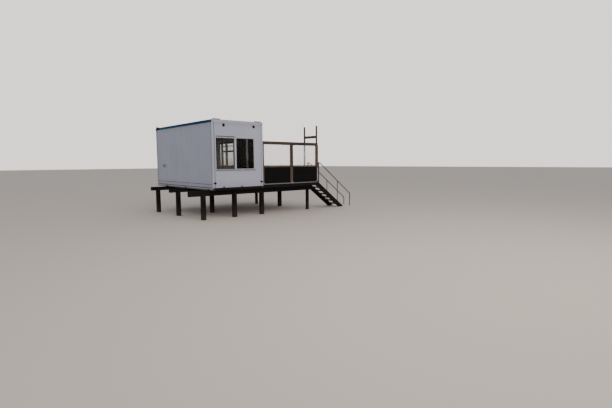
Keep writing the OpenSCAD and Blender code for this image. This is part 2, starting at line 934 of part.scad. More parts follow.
module screen_top_rail() {
    color(timber) site() difference() {
        translate([cabin_w, 0, top_rail_z]) along_x(deck_l) rail_outline(top_rail_h);
        panes(pane_room);
    }
}

module low_rails() {
    top = low_rail_z + low_rail_h;
    color(timber) site() {
        difference() {
            union() {
                block([cabin_w + batten_w, 0, low_rail_z], [front_post_x, post_w, top]);
                block([front_post_x + post_w, 0, low_rail_z], [deck_end - post_w, post_w, top]);
            }
            panes(pane_room);
        }
        difference() {
            block([cabin_w, side_start_y, low_rail_z], [deck_end, cabin_l, top]);
            block([cabin_w - 1, side_start_y - 1, low_rail_z - 1],
                  [deck_end - post_w, cabin_l - post_w, top + 1]);
        }
    }
}

module board(low, high) {
    block([low[0], low[1], deck_top], [high[0], high[1], low_rail_z]);
}

module black_boards() {
    y1 = board_setback;
    y2 = board_setback + board_t;
    back = cabin_l - y1;
    side = deck_end - y1;
    color(tar) site() {
        board([cabin_w + batten_w, y1], [front_post_x, y2]);
        board([front_post_x + post_w, y1], [deck_end - post_w, y2]);
        board([side - board_t, side_start_y + post_w], [side, side_post_y]);
        board([side - board_t, side_post_y + post_w], [side, cabin_l - post_w]);
        board([front_post_x + post_w, back - board_t], [deck_end - post_w, back]);
        board([cabin_w + batten_w, back - board_t], [front_post_x, back]);
    }
}

module clear_panes() {
    color("white", 0.4) site() panes(0);
}

// Portal at the stair head, bolted to the end of the deck
module portal_posts() {
    color(steel) site()
        for (y = [portal_y1, portal_y2])
            block([deck_end, y, beam_top], [deck_end + portal_b, y + portal_b, deck_top + portal_h]);
}

module portal_crossbar() {
    color(steel) site()
        block([deck_end, portal_y1 + portal_b, deck_top + crossbar_z],
              [deck_end + portal_b, portal_y2, deck_top + crossbar_z + crossbar_h]);
}

// Stair: upper edge of the stringers at a distance from the deck
function string_top(x) = deck_top + string_margin - fall * (x - nosing_x);
function string_at(z) = nosing_x + (deck_top + string_margin - z) / fall;

module string_outline() {
    level = deck_top - string_drop;
    polygon([
        [deck_end, level],
        [string_at(level), level],
        [string_at(0), 0],
        [string_at(string_h), 0],
        [deck_end, string_top(deck_end) - string_h]
    ]);
}

// The treads' ends stand in housings on the inner faces of the stringers
module treads() {
    end = string_t - housing;
    for (i = [1 : riser_n - 1])
        translate([nosing_x + i * going - tread_d, stair_y1 + end, deck_top - i * rise - tread_t])
            cube([tread_d, stair_y2 - stair_y1 - 2 * end, tread_t]);
}

module stair_stringers() {
    color(tar) site() difference() {
        for (y = [stair_y1, stair_y2 - string_t])
            translate([0, y, 0]) along_y(string_t) string_outline();
        treads();
    }
}

module stair_treads() {
    color(tar) site() treads();
}

// Handrails: bent tubes over the middles of the stringers
rail_y1 = stair_y1 + string_t / 2;
rail_y2 = stair_y2 - string_t / 2;
newel_end = string_at(deck_top - string_drop) - newel_gap;

module stair_newels() {
    color(timber) site()
        for (y = [rail_y1, rail_y2])
            block([newel_end - newel_b, y - newel_b / 2, deck_top - string_drop],
                  [newel_end, y + newel_b / 2, deck_top + newel_h]);
}

function rail_z(x) = string_top(x) + rail_rise;

// The knee is where the level start meets the slope; the tangents are the lengths taken by the elbows
knee_z = deck_top + rail_top;
knee_x = string_at(knee_z - rail_rise);
knee_t = bend_r * tan(slope / 2);
foot_t = bend_r * tan((90 - slope) / 2);

// Straight tube in the XZ plane from a point, at a heading above +X
module tube(from, heading, length) {
    translate([from[0], 0, from[1]]) rotate([0, 90 - heading, 0]) cylinder(d = rail_d, h = length);
}

// Elbow that turns downwards from one heading to a steeper one, with its start at a point
module elbow(from, heading, turn) {
    translate([from[0] + bend_r * sin(heading), 0, from[1] - bend_r * cos(heading)])
        rotate([90, 0, 0]) rotate([0, 0, heading + 90 - turn])
            rotate_extrude(angle = turn) translate([bend_r, 0]) circle(d = rail_d + 2 * elbow_t);
}

// Point at a distance along the handrail's slope from its knee
function down_slope(length) = [knee_x + length * cos(slope), knee_z - length * sin(slope)];

// The straight tubes reach into the elbows that join them
module handrail(end_x) {
    run = (end_x - knee_x) / cos(slope);
    tube([newel_end, knee_z], 0, knee_x - knee_t + elbow_lap - newel_end);
    translate([newel_end, 0, knee_z]) rotate([0, 90, 0]) cylinder(d = flange_d, h = flange_t);
    elbow([knee_x - knee_t, knee_z], 0, slope);
    tube(down_slope(knee_t - elbow_lap), -slope, run - knee_t - foot_t + 2 * elbow_lap);
    elbow(down_slope(run - foot_t), -slope, 90 - slope);
    translate([end_x, 0, 0]) cylinder(d = rail_d, h = rail_z(end_x) - foot_t + elbow_lap);
    upright_to_rail(deck_end + upright_x);
}

// Upright from the sloping edge of the stringer to the middle of the rail
module upright_to_rail(x) {
    reach = 2 * upright_d;
    difference() {
        translate([x, 0, string_top(x) - reach]) cylinder(d = upright_d, h = rail_rise + reach);
        translate([x, 0, string_top(x)]) rotate([0, slope, 0])
            translate([-2 * reach, -reach, -4 * reach]) cube([4 * reach, 2 * reach, 4 * reach]);
    }
}

module handrails() {
    color(steel) site() {
        translate([0, rail_y1, 0]) handrail(deck_end + near_end_x);
        translate([0, rail_y2, 0]) handrail(deck_end + far_end_x);
    }
}

pile_row_front();
pile_row_middle();
pile_row_back();
deck_posts();
cap_beam_front();
cap_beam_middle();
cap_beam_back();
base_side_rails();
base_end_rails();
floor_bearers();
cabin_floor();
corner_posts();
left_wall();
front_wall();
right_wall();
back_wall();
roof_side_rails();
roof_end_rails();
roof_panel();
front_window_frame();
front_window_sashes();
front_window_glass();
deck_window_frame();
deck_window_sashes();
deck_window_glass();
door_frame();
door_leaf();
front_vents();
lashing_sockets();
side_grille();
deck_joists();
deck_rim();
deck_planks();
deck_edge_strip();
screen_posts();
screen_top_rail();
low_rails();
black_boards();
clear_panes();
portal_posts();
portal_crossbar();
stair_stringers();
stair_treads();
stair_newels();
handrails();
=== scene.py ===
import math
from functools import partial
import bpy
import bmesh
from mathutils import Matrix, Vector


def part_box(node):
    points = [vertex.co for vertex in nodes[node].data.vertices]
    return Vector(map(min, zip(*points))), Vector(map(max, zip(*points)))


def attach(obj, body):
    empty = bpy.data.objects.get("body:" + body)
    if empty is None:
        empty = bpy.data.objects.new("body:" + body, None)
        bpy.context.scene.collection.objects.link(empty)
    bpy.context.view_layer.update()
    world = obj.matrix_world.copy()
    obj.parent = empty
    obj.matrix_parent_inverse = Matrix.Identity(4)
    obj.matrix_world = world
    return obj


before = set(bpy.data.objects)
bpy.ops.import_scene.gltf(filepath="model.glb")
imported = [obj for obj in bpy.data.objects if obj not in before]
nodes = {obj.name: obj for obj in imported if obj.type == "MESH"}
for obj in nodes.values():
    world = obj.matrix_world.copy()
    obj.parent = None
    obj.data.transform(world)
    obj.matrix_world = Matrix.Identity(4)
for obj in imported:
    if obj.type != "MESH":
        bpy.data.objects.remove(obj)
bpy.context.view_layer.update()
scene = bpy.context.scene
print("frame loaded:", len(nodes), "nodes")


def hexColor(code):  # sRGB hex to Blender's linear colour
    channels = [int(code[i:i + 2], 16) / 255 for i in (0, 2, 4)]
    return (*[c / 12.92 if c <= 0.04045 else ((c + 0.055) / 1.055) ** 2.4 for c in channels], 1.0)


def addNode(tree, kind, inputs, out=0, **settings):  # an input is a value, or another node's output
    node = tree.nodes.new("ShaderNode" + kind)
    for name, value in settings.items():
        setattr(node, name, value)
    for key, value in inputs.items():
        if isinstance(value, bpy.types.NodeSocket):
            tree.links.new(value, node.inputs[key])
        else:
            node.inputs[key].default_value = value
    return node.outputs[out]


def startMaterial(name, **sockets):  # a fresh material, addNode for its tree, its shader, Object coordinates
    material = bpy.data.materials.new(name)
    material.use_nodes = True
    tree = material.node_tree
    shader = tree.nodes["Principled BSDF"]
    for key, value in sockets.items():
        shader.inputs[key.replace("_", " ")].default_value = value
    coords = tree.nodes.new("ShaderNodeTexCoord").outputs["Object"]
    return material, partial(addNode, tree), shader, coords


def wireShader(shader, **sources):  # joins each pattern to the shader's socket of that name
    for key, source in sources.items():
        shader.id_data.links.new(source, shader.inputs[key.replace("_", " ")])


colorMix = {"out": 2, "data_type": "RGBA"}  # a Mix node for colours: sockets 6 and 7 are its colours


# Timber: one grain builder for every board and post, with its own colours for each finish.

grainScales = {  # 1/m along the board and across it: growth rings 6 mm apart, tone bands 60 mm wide
    "X": ((2.5, 160, 160), (0.7, 15, 15)),
    "Y": ((160, 2.5, 160), (15, 0.7, 15)),
    "Z": ((160, 160, 2.5), (15, 15, 0.7)),
}


def timberMaterial(name, look, run, turn=0.0, cross=None):
    # run is the way the grain goes; cross = (x, run) changes it for the pieces beyond that x; damp patches
    # are 0.6 m wide
    material, add, shader, coords = startMaterial(name, Specular_IOR_Level=look["gloss"])
    if turn:  # lays a sloping board level before its grain is drawn
        coords = add("Mapping", {"Rotation": (0, turn, 0), "Vector": coords})
    x, y, z = (add("SeparateXYZ", {0: coords}, out=i) for i in range(3))
    grains = [add("Mapping", {"Scale": scale, "Vector": coords}) for scale in grainScales[run]]
    if cross:
        beyond = add("Math", {0: x, 1: cross[0]}, operation="GREATER_THAN")
        for i, scale in enumerate(grainScales[cross[1]]):
            other = add("Mapping", {"Scale": scale, "Vector": coords})
            grains[i] = add("Mix", {0: beyond, 4: grains[i], 5: other}, out=1, data_type="VECTOR")
    fine, broad = grains
    rings = add("TexNoise", {"Scale": 1.0, "Detail": 5.0, "Roughness": 0.6, "Vector": fine})
    bands = add("TexNoise", {"Scale": 1.0, "Detail": 4.0, "Distortion": 0.6, "Vector": broad})
    damp = add("TexNoise", {"Scale": 1.7, "Detail": 5.0, "Vector": coords})
    bandMask = add("MapRange", {"From Min": 0.36, "From Max": 0.64, "Value": bands})
    ringMask = add("MapRange", {"From Min": 0.42, "From Max": 0.7, "To Max": look["ringDepth"],
                                "Value": rings})
    color = add("Mix", {0: bandMask, 6: hexColor(look["dark"]), 7: hexColor(look["light"])}, **colorMix)
    color = add("Mix", {0: ringMask, 6: color, 7: hexColor(look["ring"])}, **colorMix)
    if "board" in look:  # every board has its own tone: pitch in metres and the way they are counted
        pitch, start, count = look["board"]
        place = {"X": x, "Y": y, "Z": z}[count]
        number = add("Math", {0: place, 1: start}, operation="SUBTRACT")
        number = add("Math", {0: number, 1: pitch}, operation="DIVIDE")
        number = add("Math", {0: number}, operation="FLOOR")
        tone = add("TexWhiteNoise", {"W": number}, noise_dimensions="1D")
        toneMask = add("MapRange", {"To Max": 0.55, "Value": tone})
        color = add("Mix", {0: toneMask, 6: color, 7: hexColor(look["boardTone"])}, **colorMix)
    dampMask = add("MapRange", {"From Min": 0.5, "From Max": 0.72, "To Max": look["wornShare"],
                                "Value": damp})
    color = add("Mix", {0: dampMask, 6: color, 7: hexColor(look["worn"])}, **colorMix)
    if "foot" in look:  # the bottom of a pile, rubbed bare and salted by the sand
        ragged = add("Math", {0: bands, 1: 0.5}, operation="MULTIPLY")
        height = add("Math", {0: z, 1: ragged}, operation="SUBTRACT")
        footMask = add("MapRange", {"From Min": -0.25, "From Max": look["foot"][1] - 0.25, "To Min": 0.85,
                                    "To Max": 0.0, "Value": height})
        color = add("Mix", {0: footMask, 6: color, 7: hexColor(look["foot"][0])}, **colorMix)
    rough = add("MapRange", {"From Min": 0.3, "From Max": 0.7, "To Min": look["rough"][0],
                             "To Max": look["rough"][1], "Value": damp})
    height = add("Math", {0: rings, 1: bands, 2: 0.35}, operation="MULTIPLY_ADD")
    bump = add("Bump", {"Strength": look["bump"], "Distance": 0.0025, "Height": height})
    wireShader(shader, Base_Color=color, Roughness=rough, Normal=bump)
    return material


# sawn softwood brushed with coal tar: nearly black, half matt, brown where it is rubbed
tarredLook = {"dark": "0f0d0d", "light": "1b1716", "ring": "0a0909", "worn": "2b2422", "wornShare": 0.4,
              "ringDepth": 0.7, "rough": (0.6, 0.85), "bump": 0.5, "gloss": 0.15}
pileLook = dict(tarredLook, foot=("3a332e", 0.5), light="1b1614", worn="2d2622")
# sawn softwood with a brown stain, sun-bleached to a pinkish tan on the broad faces
stainedLook = {"dark": "513e36", "light": "68554b", "ring": "3d2d27", "worn": "84716a", "wornShare": 0.5,
               "ringDepth": 0.5, "rough": (0.6, 0.85), "bump": 0.5, "gloss": 0.3}
# the same stain in a darker tone: the top rail and the middle post's cover board
darkStainedLook = dict(stainedLook, dark="3b2e29", light="4e4039", ring="2b211d", worn="6a5a50",
                       wornShare=0.4)
# bare deck boards gone grey in salt air, each with its own tone
deckLook = {"dark": "6f6861", "light": "968d82", "ring": "4f4842", "worn": "a9a196", "wornShare": 0.5,
            "ringDepth": 0.55, "rough": (0.7, 0.9), "bump": 0.6, "gloss": 0.3, "boardTone": "5e544b"}
# boards painted with black bitumen paint: even, dull, the grain just showing
blackBoardLook = {"dark": "090909", "light": "100f10", "ring": "050505", "worn": "171616", "wornShare": 0.5,
                  "ringDepth": 0.5, "rough": (0.6, 0.75), "bump": 0.25, "gloss": 0.12}
# phenolic-faced plywood floor, brown and scuffed
floorLook = {"dark": "33271f", "light": "40332a", "ring": "281e18", "worn": "544a41", "wornShare": 0.6,
             "ringDepth": 0.3, "rough": (0.5, 0.75), "bump": 0.2, "gloss": 0.25}

deckLow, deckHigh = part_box("deck_planks")
boardPitch = (deckHigh.y - deckLow.y + 0.005) / 35  # 35 boards with gaps of 5 mm
deckLook["board"] = (boardPitch, deckLow.y - 0.0025, "Y")
screenEndX = deckHigh.x - 0.089  # the end screen and rim stand beyond this
railSlope = math.radians(36.6)

timberUse = [
    ("tarredPile", pileLook, "Z", 0, None,
     ("pile_row_front", "pile_row_middle", "pile_row_back", "deck_posts")),
    ("tarredBeam", tarredLook, "X", 0, None, ("cap_beam_front", "cap_beam_middle", "cap_beam_back")),
    ("tarredJoist", tarredLook, "Y", 0, None, ("deck_joists", "stair_treads")),
    ("tarredRim", tarredLook, "X", 0, (deckHigh.x - 0.031, "Y"), ("deck_rim",)),
    ("tarredStringer", tarredLook, "X", -railSlope, None, ("stair_stringers",)),
    ("stainedPost", stainedLook, "Z", 0, None, ("screen_posts", "stair_newels")),
    ("stainedRail", stainedLook, "X", 0, (screenEndX, "Y"), ("low_rails",)),
    ("stainedTopRail", darkStainedLook, "X", 0, (screenEndX, "Y"), ("screen_top_rail",)),
    ("stainedCover", darkStainedLook, "Z", 0, None, ()),
    ("weatheredDeckBoard", deckLook, "X", 0, None, ("deck_planks",)),
    ("blackPaintedBoard", blackBoardLook, "X", 0, (screenEndX, "Y"), ("black_boards",)),
    ("plywoodFloor", floorLook, "X", 0, None, ("cabin_floor",)),
]


# Painted sheet steel: the cabin's walls, roof and frame.

cabinLow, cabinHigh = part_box("corner_posts")
cabinMid = (cabinLow + cabinHigh) / 2
cabinHalf = (cabinHigh - cabinLow) / 2
roofLow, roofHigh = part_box("roof_panel")
# heights in metres: where the splash begins, where the darkening under the eaves lies, where rust chips are
# many and few; and how far inside the outer faces the painted shade of the room begins
sheetLevels = {"splash": 1.17, "underEaves": (3.36, 3.56), "chips": (1.15, 1.5), "insideShade": 0.03}


def sheetMaterial(name, look):
    material, add, shader, coords = startMaterial(name, IOR=1.5, Specular_IOR_Level=look["gloss"])
    x, y, z = (add("SeparateXYZ", {0: coords}, out=i) for i in range(3))
    # clouds of tone 1.2 m wide, dents 290 mm apart, grit 22 mm; the walls' rain streaks are 110 mm apart and
    # 2.5 m long, coarser than real ones so that they show
    cloud = add("TexNoise", {"Scale": 0.8, "Detail": 4.0, "Roughness": 0.55, "Vector": coords})
    drip = add("Mapping", {"Scale": look["dripScale"], "Vector": coords})
    drips = add("TexNoise", {"Scale": 1.0, "Detail": 5.0, "Roughness": 0.62, "Vector": drip})
    grit = add("TexNoise", {"Scale": 45.0, "Detail": 6.0, "Roughness": 0.7, "Vector": coords})
    cloudMask = add("MapRange", {"From Min": 0.35, "From Max": 0.65, "Value": cloud})
    color = add("Mix", {0: cloudMask, 6: hexColor(look["paint"]), 7: hexColor(look["faded"])}, **colorMix)
    dripMask = add("MapRange", {"From Min": 0.5, "From Max": 0.72, "To Max": look["drips"], "Value": drips})
    color = add("Mix", {0: dripMask, 6: color, 7: hexColor(look["grime"])}, **colorMix)
    # splash grime along the bottom edge, and a darkening under the eaves, with borders broken by the drips
    wavy = add("Math", {0: drips, 1: 0.16, 2: -0.08}, operation="MULTIPLY_ADD")
    level = add("Math", {0: z, 1: wavy}, operation="ADD")
    splash = sheetLevels["splash"]
    for low, high, share, back in ((splash, splash + look["splashHeight"], look["splash"], 0.0),
                                   (*sheetLevels["underEaves"], 0.0, look["eaves"])):
        mask = add("MapRange", {"From Min": low, "From Max": high, "To Min": share, "To Max": back,
                                "Value": level})
        color = add("Mix", {0: mask, 6: color, 7: hexColor(look["grime"])}, **colorMix)
    if "band" in look:  # another paint within a band of height: its colour, middle and half height
        mask = add("Math", {0: z, 1: look["band"][1], 2: look["band"][2]}, operation="COMPARE")
        color = add("Mix", {0: mask, 6: color, 7: hexColor(look["band"][0])}, **colorMix)
    if "darkening" in look:  # a dark colour over the stretch beyond a place along y
        ragged = add("Math", {0: drips, 1: 0.3, 2: y}, operation="MULTIPLY_ADD")
        start = look["darkening"][1]
        mask = add("MapRange", {"From Min": start + 0.12, "From Max": start + 0.18, "Value": ragged})
        color = add("Mix", {0: mask, 6: color, 7: hexColor(look["darkening"][0])}, **colorMix)
    if "capped" in look:  # the channel's face at the window end has a colour of its own
        mask = add("Math", {0: y, 1: cabinLow.y + 0.003}, operation="LESS_THAN")
        color = add("Mix", {0: mask, 6: color, 7: hexColor(look["capped"])}, **colorMix)
    # chips down to rusty steel, a few millimetres wide, close to the bottom and here and there above
    chip = add("MapRange", {"From Min": look["chipFrom"], "From Max": look["chipFrom"] + 0.02, "Value": grit})
    many, few = sheetLevels["chips"]
    low = add("MapRange", {"From Min": many, "From Max": few, "To Min": 1.0, "To Max": 0.25, "Value": z})
    rust = add("Math", {0: chip, 1: low}, operation="MULTIPLY")
    color = add("Mix", {0: rust, 6: color, 7: hexColor(look["rust"])}, **colorMix)
    if "insideShade" in look:  # painted shade: the cabin's inner faces are coloured dark brown, in upright bands, to stand for the shade of the unlit room
        inside = add("Math", {0: z, 1: roofLow.z + 0.01}, operation="LESS_THAN")
        for place, middle, half in ((x, cabinMid.x, cabinHalf.x), (y, cabinMid.y, cabinHalf.y)):
            within = add("Math", {0: place, 1: middle, 2: half - sheetLevels["insideShade"]}, operation="COMPARE")
            inside = add("Math", {0: inside, 1: within}, operation="MULTIPLY")
        board = add("Mix", {0: drips, 6: hexColor(look["insideShade"][0]), 7: hexColor(look["insideShade"][1])},
                    **colorMix)
        color = add("Mix", {0: inside, 6: color, 7: board}, **colorMix)
    rough = add("MapRange", {"From Min": 0.3, "From Max": 0.75, "To Min": look["rough"][0],
                             "To Max": look["rough"][1], "Value": drips})
    if "leaf" in look:  # the lever handles that stand off the door leaf are brushed stainless steel
        centre, half = look["leaf"]
        onLeaf = add("Math", {0: x, 1: centre, 2: half}, operation="COMPARE")
        steel = add("Math", {0: 1.0, 1: onLeaf}, operation="SUBTRACT")
        color = add("Mix", {0: steel, 6: color, 7: hexColor(look["lever"])}, **colorMix)
        wireShader(shader, Metallic=steel)
    dents = add("TexNoise", {"Scale": 3.5, "Detail": 1.0, "Vector": coords})
    height = add("Math", {0: grit, 1: 0.04, 2: dents}, operation="MULTIPLY_ADD")
    bump = add("Bump", {"Strength": look["bump"], "Distance": 0.02, "Height": height})
    wireShader(shader, Base_Color=color, Roughness=rough, Normal=bump)
    return material


# coil-coated steel sheet on foam panels, white gone to a cool grey, even, with faint rain streaks; its inner
# faces dark brown, painted shade of the unlit room
wallLook = {"paint": "a8aec2", "faded": "b0b4c5", "grime": "7d7b80", "rust": "5c3a28", "drips": 0.06,
            "dripScale": (9, 9, 0.4), "splash": 0.22, "splashHeight": 0.3, "eaves": 0.25, "chipFrom": 0.76,
            "rough": (0.42, 0.55), "bump": 0.10, "gloss": 0.35, "insideShade": ("1e1916", "28211d")}
leafMid = (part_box("door_leaf")[0].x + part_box("door_leaf")[1].x) / 2
leafHalf = 0.022  # half the leaf's thickness
leafLook = dict(wallLook, leaf=(leafMid, leafHalf + 0.0005), lever="8d8d8f")
# the same coating lying flat on the roof, dulled by sand and standing water
roofLook = dict(wallLook, paint="a2a4a8", faded="b0b0b0", grime="77736c", drips=0.6, dripScale=(1.6, 5, 2),
                splash=0.0, eaves=0.0, chipFrom=0.72, rough=(0.5, 0.75))
# rolled steel sections painted with the cabin, brush marks and rust at their lower edges
frameLook = dict(wallLook, paint="a9afc1", faded="b2b5c4", drips=0.15, splash=0.4, splashHeight=0.2,
                 chipFrom=0.71, bump=0.06)
# the same steel along the roof's ends, its top edge and lifting pads dark grey
eavesEndLook = dict(frameLook, eaves=0.1, band=("2a2625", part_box("roof_end_rails")[1].z, 0.0275))
baseLook = dict(frameLook, paint="96979b", faded="a8a6a6", grime="55504d", drips=0.6, dripScale=(3, 3, 6),
                splash=0.9, splashHeight=0.16, chipFrom=0.62, band=("b0b2ba", 1.150, 0.016), capped="161413")
# blue alkyd enamel on the eaves channel, chalky, chipped along its edges, dark grey over its far end
blueLook = dict(wallLook, paint="01324f", faded="04527a", grime="06202e", drips=0.45, dripScale=(3, 3, 9),
                splash=0.0, eaves=0.0, chipFrom=0.7, rust="33302f", rough=(0.5, 0.7), bump=0.05, gloss=0.12,
                darkening=("0f1112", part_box("roof_side_rails")[1].y - 0.4), capped="9a9ca6")
# black-brown chassis paint over rusting steel
darkLook = dict(wallLook, paint="0e0d0e", faded="181514", grime="201812", drips=0.6, dripScale=(5, 5, 3),
                splash=0.4, splashHeight=0.3, eaves=0.0, chipFrom=0.63, rust="38231a", rough=(0.6, 0.8),
                bump=0.08, gloss=0.15)

sheetUse = [
    ("coatedWallSheet", wallLook, ("left_wall", "front_wall", "right_wall", "back_wall")),
    ("coatedDoorLeaf", leafLook, ("door_leaf",)),
    ("coatedRoofSheet", roofLook, ("roof_panel",)),
    ("paintedFrameSteel", frameLook, ("corner_posts", "door_frame", "side_grille")),
    ("paintedEavesEnd", eavesEndLook, ("roof_end_rails",)),
    ("paintedBaseChannel", baseLook, ("base_side_rails",)),
    ("blueEavesEnamel", blueLook, ("roof_side_rails",)),
    ("darkChassisPaint", darkLook, ("base_end_rails", "floor_bearers", "front_vents", "lashing_sockets")),
]


# Tube, window profiles, clear sheets and small fittings.

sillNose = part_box("front_window_frame")[0].y + 0.004


def tubeMaterial(name, look):
    # hot-dip galvanised steel tube gone dull and brownish in salt air: spangle, rust freckles, half matt;
    # the spangle is drawn 17 mm wide, coarser than real so that it shows, and the patina in 110 mm patches
    material, add, shader, coords = startMaterial(name, Metallic=look["metallic"])
    spangle = add("TexVoronoi", {"Scale": 60.0, "Vector": coords}, out=1)
    patina = add("TexNoise", {"Scale": 9.0, "Detail": 6.0, "Roughness": 0.65, "Vector": coords})
    gray = add("SeparateColor", {0: spangle})
    grayMask = add("MapRange", {"To Max": 0.35, "Value": gray})
    color = add("Mix", {0: grayMask, 6: hexColor(look["dark"]), 7: hexColor(look["light"])}, **colorMix)
    patinaMask = add("MapRange", {"From Min": 0.45, "From Max": 0.68, "Value": patina})
    color = add("Mix", {0: patinaMask, 6: color, 7: hexColor(look["patina"])}, **colorMix)
    rough = add("MapRange", {"To Min": 0.45, "To Max": 0.8, "Value": patina})
    bump = add("Bump", {"Strength": 0.25, "Distance": 0.001, "Height": patina})
    wireShader(shader, Base_Color=color, Roughness=rough, Normal=bump)
    return material


def profileMaterial(name, look):
    # an extruded profile, lightly chalked, with grey dirt in long thin runs; they are 33 mm apart and 450 mm
    # long, coarser than real ones so that they show
    material, add, shader, coords = startMaterial(name, Metallic=look["metallic"])
    streak = add("Mapping", {"Scale": (30, 30, 2.2), "Vector": coords})
    dirt = add("TexNoise", {"Scale": 1.0, "Detail": 6.0, "Roughness": 0.65, "Vector": streak})
    chalk = add("TexNoise", {"Scale": 6.0, "Detail": 5.0, "Vector": coords})
    dirtMask = add("MapRange", {"From Min": 0.5, "From Max": 0.75, "To Max": 0.55, "Value": dirt})
    color = add("Mix", {0: dirtMask, 6: hexColor(look["paint"]), 7: hexColor(look["grime"])}, **colorMix)
    y = add("SeparateXYZ", {0: coords}, out=1)  # painted shade: the drip sill's nose is coloured dark to stand for the shadow line under the sill
    nose = add("Math", {0: y, 1: sillNose}, operation="LESS_THAN")
    color = add("Mix", {0: nose, 6: color, 7: hexColor(look["darkening"])}, **colorMix)
    rough = add("MapRange", {"To Min": 0.35, "To Max": 0.6, "Value": chalk})
    bump = add("Bump", {"Strength": 0.12, "Distance": 0.001, "Height": dirt})
    wireShader(shader, Base_Color=color, Roughness=rough, Normal=bump)
    return material


def glassMaterial(name, look):
    # clear sheet with dried salt: see-through, the haze gathered low and in soft patches 0.4 m wide; the
    # salt specks are drawn 26 mm wide, coarser than real ones so that they show
    material, add, shader, coords = startMaterial(name, IOR=look["ior"], Transmission_Weight=look["clear"])
    haze = add("TexNoise", {"Scale": 2.6, "Detail": 5.0, "Roughness": 0.6, "Vector": coords})
    speck = add("TexNoise", {"Scale": 38.0, "Detail": 5.0, "Roughness": 0.7, "Vector": coords})
    rough = add("MapRange", {"From Min": 0.35, "From Max": 0.7, "To Min": look["rough"][0],
                             "To Max": look["rough"][1], "Value": haze})
    tint = add("MapRange", {"From Min": 0.5, "From Max": 0.75, "Value": speck})
    color = add("Mix", {0: tint, 6: hexColor(look["tint"]), 7: hexColor(look["salt"])}, **colorMix)
    if "dust" in look:  # sand and dust that lie thicker towards the bottom of the pane
        z = add("SeparateXYZ", {0: coords}, out=2)
        level = add("Math", {0: haze, 1: 0.3, 2: z}, operation="MULTIPLY_ADD")
        mask = add("MapRange", {"From Min": 2.0, "From Max": 2.5, "To Min": 0.9, "To Max": 0.0,
                                "Value": level})
        color = add("Mix", {0: mask, 6: color, 7: hexColor(look["dust"])}, **colorMix)
    if "veil" in look:  # the sash left of this place has a veil of dried spray, thicker towards its foot
        x, z = (add("SeparateXYZ", {0: coords}, out=i) for i in (0, 2))
        veiled = add("Math", {0: x, 1: look["veil"][0]}, operation="LESS_THAN")
        depth = add("MapRange", {"From Min": 2.0, "From Max": 2.9, "To Min": -look["veil"][1],
                                 "To Max": -0.25 * look["veil"][1], "Value": z})
        clear = add("Math", {0: veiled, 1: depth, 2: look["clear"]}, operation="MULTIPLY_ADD")
        wireShader(shader, Transmission_Weight=clear)
    wireShader(shader, Base_Color=color, Roughness=rough)
    return material


def smallMaterial(name, look):
    # fittings too small to show a pattern of their own: two tones in specks, and a broken sheen; the specks
    # are 8 to 17 mm wide, coarser than real ones so that they show
    material, add, shader, coords = startMaterial(name, Metallic=look["metallic"],
                                                  Specular_IOR_Level=look["gloss"])
    speck = add("TexNoise", {"Scale": look["scale"], "Detail": 5.0, "Roughness": 0.65, "Vector": coords})
    speckMask = add("MapRange", {"From Min": 0.38, "From Max": 0.66, "Value": speck})
    color = add("Mix", {0: speckMask, 6: hexColor(look["tone"]), 7: hexColor(look["speck"])}, **colorMix)
    rough = add("MapRange", {"To Min": look["rough"][0], "To Max": look["rough"][1], "Value": speck})
    bump = add("Bump", {"Strength": 0.2, "Distance": 0.0006, "Height": speck})
    wireShader(shader, Base_Color=color, Roughness=rough, Normal=bump)
    return material


smallLooks = {
    # EPDM gasket and pile weather strip: dull black, dusted with salt
    "blackRubber": {"tone": "0c0c0d", "speck": "1d1c1c", "scale": 120, "metallic": 0.0, "gloss": 0.2,
                    "rough": (0.6, 0.85)},
    # zinc-plated bolts, screws and plates, gone matt with white bloom and rust
    "zincPlate": {"tone": "6b6a69", "speck": "4a3a30", "scale": 70, "metallic": 0.7, "gloss": 0.5,
                  "rough": (0.4, 0.75)},
    # the same ironwork brushed over with tar
    "tarredIron": {"tone": "131110", "speck": "2a201a", "scale": 60, "metallic": 0.0, "gloss": 0.2,
                   "rough": (0.55, 0.8)},
    # stainless steel door fittings, brushed, lightly stained
    "brushedStainless": {"tone": "98989a", "speck": "747270", "scale": 90, "metallic": 0.9, "gloss": 0.5,
                         "rough": (0.25, 0.45)},
    # painted rivet heads and sheet screws, a touch chalkier than the wall
    "paintedRivet": {"tone": "a4a6ae", "speck": "8a8a8d", "scale": 80, "metallic": 0.0, "gloss": 0.35,
                     "rough": (0.45, 0.6)},
}
tubeLook = {"metallic": 0.35, "dark": "4f4844", "light": "716a64", "patina": "41352f"}
# PVC-clad window profile, white gone grey, its drip sill's nose dark as painted shade; and mill-finish
# aluminium, dull with salt
profileLook = {"metallic": 0.0, "paint": "b7bac6", "grime": "6a6763", "darkening": "3f3a37"}
stripLook = {"metallic": 0.6, "paint": "85858b", "grime": "504e4f", "darkening": "3f3a37"}
# float glass: the low IOR holds down the reflected sky, so the panes look nearly black before a dark room
paneLook = {"ior": 1.12, "tint": "cfd0ce", "salt": "bebcb8", "rough": (0.0, 0.05), "dust": "aea49b",
            "clear": 0.991, "veil": (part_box("front_window_sashes")[0].x + 0.86, 0.075)}
# clear rigid plastic sheet, hazed by blown sand
sheetLook = {"ior": 1.1, "tint": "fffdfb", "salt": "eee8e4", "rough": (0.05, 0.3), "clear": 0.85}

